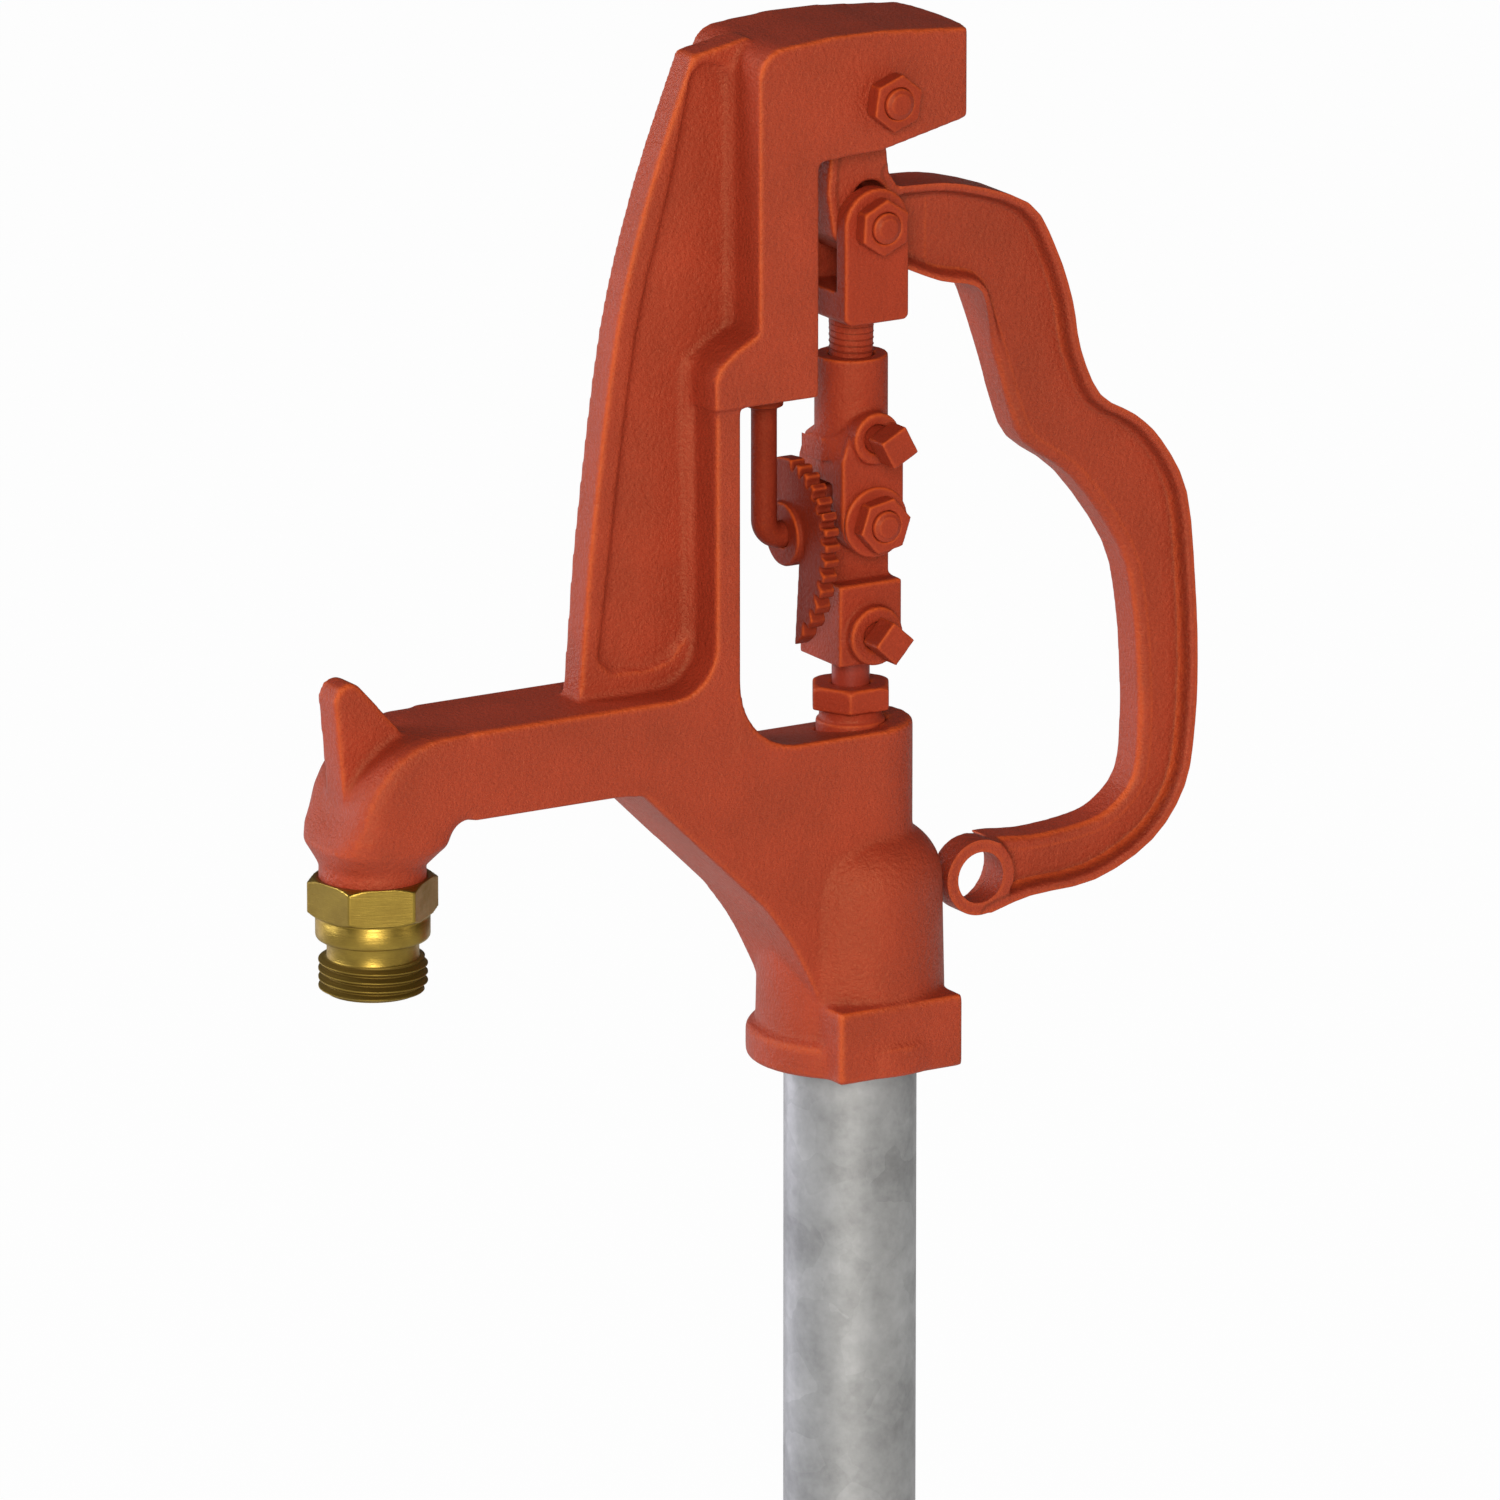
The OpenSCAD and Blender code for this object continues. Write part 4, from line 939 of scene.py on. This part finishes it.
def backdrop_share(g, path, direct, mirrored):
    """How white a backdrop shows to the camera, and in the gloss of metal and paint."""
    to_camera = g.math("MULTIPLY", path.outputs["Is Camera Ray"], direct)
    to_metal = g.math("MAXIMUM", path.outputs["Is Glossy Ray"], path.outputs["Is Transmission Ray"])
    return g.math("MAXIMUM", to_camera, g.math("MULTIPLY", to_metal, mirrored))


def pale_floor():
    """Pale floor that reads as white to the camera and keeps the hydrant's soft shadow."""
    material = bpy.data.materials.new("pale floor")
    material.use_nodes = True
    g = Graph(material.node_tree)
    g.tree.nodes.clear()
    out = g.add("ShaderNodeOutputMaterial")
    matt = g.add("ShaderNodeBsdfDiffuse")
    matt.inputs["Color"].default_value = (0.86, 0.86, 0.86, 1)
    glow = g.add("ShaderNodeEmission")
    glow.inputs["Strength"].default_value = 1.0
    path = g.add("ShaderNodeLightPath")
    seen = backdrop_share(g, path, direct=0.98, mirrored=0.55)
    blend = g.add("ShaderNodeMixShader")
    g.join(seen, blend.inputs[0])
    g.join(matt.outputs[0], blend.inputs[1])
    g.join(glow.outputs[0], blend.inputs[2])
    g.join(blend.outputs[0], out.inputs["Surface"])
    return material


class HYDRANT_OT_stage(bpy.types.Operator):
    """Places the pale floor, the studio lamps, the white surround and the camera"""

    bl_idname = "hydrant.stage"
    bl_label = "Stage"

    def execute(self, context):
        scene = context.scene
        reach, below_foot = 30.0, 0.0005
        corners = [(-reach, -reach, 0), (reach, -reach, 0), (reach, reach, 0), (-reach, reach, 0)]
        floor_mesh = bpy.data.meshes.new("floor")
        floor_mesh.from_pydata(corners, [], [(0, 1, 2, 3)])
        floor = bpy.data.objects.new("floor", floor_mesh)
        floor.location.z = -below_foot
        floor_mesh.materials.append(pale_floor())
        scene.collection.objects.link(floor)

        surround_light = 0.09
        world = bpy.data.worlds.new("surround")
        scene.world = world
        world.use_nodes = True
        g = Graph(world.node_tree)
        back = world.node_tree.nodes["Background"]
        back.inputs["Color"].default_value = (1, 1, 1, 1)
        path = g.add("ShaderNodeLightPath")
        white = backdrop_share(g, path, direct=1.0, mirrored=surround_light)
        g.join(g.math("MAXIMUM", white, surround_light), back.inputs["Strength"])

        aim = (-0.03, 0.0, HEAD_Z + 0.12)  # the middle of the head
        for name, place, power, size, color in (
                ("camera key", (-1.70, -2.85, HEAD_Z + 1.22), 110.0, 1.6, (1.0, 0.95, 0.88)),
                ("left", (-2.40, 1.35, HEAD_Z + 1.30), 50.0, 1.4, (0.88, 0.89, 1.0)),
                ("back left", (-1.25, 2.75, HEAD_Z - 0.05), 15.0, 1.8, (0.88, 0.85, 1.0)),
                ("right fill", (2.15, -2.65, HEAD_Z + 0.85), 12.0, 1.6, (1.0, 0.93, 0.85))):
            area_lamp(name, place, aim, power, size, color)

        side, rise, away = math.radians(31.0), math.radians(15.5), 4.173
        shift_left, shift_up = 0.006, 0.01812
        ahead = Vector((
            math.sin(side) * math.cos(rise), math.cos(side) * math.cos(rise), -math.sin(rise)))
        right = Vector((math.cos(side), -math.sin(side), 0))
        up = right.cross(ahead)
        lens = bpy.data.cameras.new("camera")
        lens.sensor_width = 36.0
        lens.lens = 400.0
        lens.clip_start, lens.clip_end = 0.1, 100.0
        camera = bpy.data.objects.new("camera", lens)
        place = Vector((0, 0, HEAD_Z)) - away * (ahead + shift_left * right - shift_up * up)
        turn = Matrix((right, up, -ahead)).transposed().to_4x4()
        camera.matrix_world = Matrix.Translation(place) @ turn
        scene.collection.objects.link(camera)
        scene.camera = camera
        scene.view_settings.view_transform = "Standard"
        return {"FINISHED"}


class HYDRANT_PT_panel(bpy.types.Panel):
    """Lists the hydrant's operators, colors and sizes"""

    bl_label = "Hydrant"
    bl_idname = "HYDRANT_PT_panel"
    bl_space_type = "VIEW_3D"
    bl_region_type = "UI"
    bl_category = "Hydrant"

    def draw(self, context):
        layout = self.layout
        scene = context.scene
        for operator in OPERATORS:
            layout.operator(operator.bl_idname)
        for title, group in (
                ("Paint", scene.hydrant_paint), ("Metal", scene.hydrant_metal),
                ("Sizes", scene.hydrant_sizes)):
            box = layout.box()
            box.label(text=title)
            for key in group.__annotations__:
                box.prop(group, key)


OPERATORS = (
    HYDRANT_OT_castings, HYDRANT_OT_linkage, HYDRANT_OT_fasteners, HYDRANT_OT_selector,
    HYDRANT_OT_nozzle, HYDRANT_OT_riser, HYDRANT_OT_valve, HYDRANT_OT_stage)
GROUPS = (HydrantPaint, HydrantMetal, HydrantSizes)


def register():
    for cls in (*GROUPS, *OPERATORS, HYDRANT_PT_panel):
        bpy.utils.register_class(cls)
    bpy.types.Scene.hydrant_paint = PointerProperty(type=HydrantPaint)
    bpy.types.Scene.hydrant_metal = PointerProperty(type=HydrantMetal)
    bpy.types.Scene.hydrant_sizes = PointerProperty(type=HydrantSizes)


def unregister():
    del bpy.types.Scene.hydrant_sizes
    del bpy.types.Scene.hydrant_metal
    del bpy.types.Scene.hydrant_paint
    for cls in (HYDRANT_PT_panel, *reversed(OPERATORS), *reversed(GROUPS)):
        bpy.utils.unregister_class(cls)


def main():
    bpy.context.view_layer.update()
    register()
    bpy.ops.hydrant.castings()
    bpy.ops.hydrant.linkage()
    bpy.ops.hydrant.fasteners()
    bpy.ops.hydrant.selector()
    bpy.ops.hydrant.nozzle()
    bpy.ops.hydrant.riser()
    bpy.ops.hydrant.valve()
    bpy.ops.hydrant.stage()


if __name__ == "__main__":
    main()
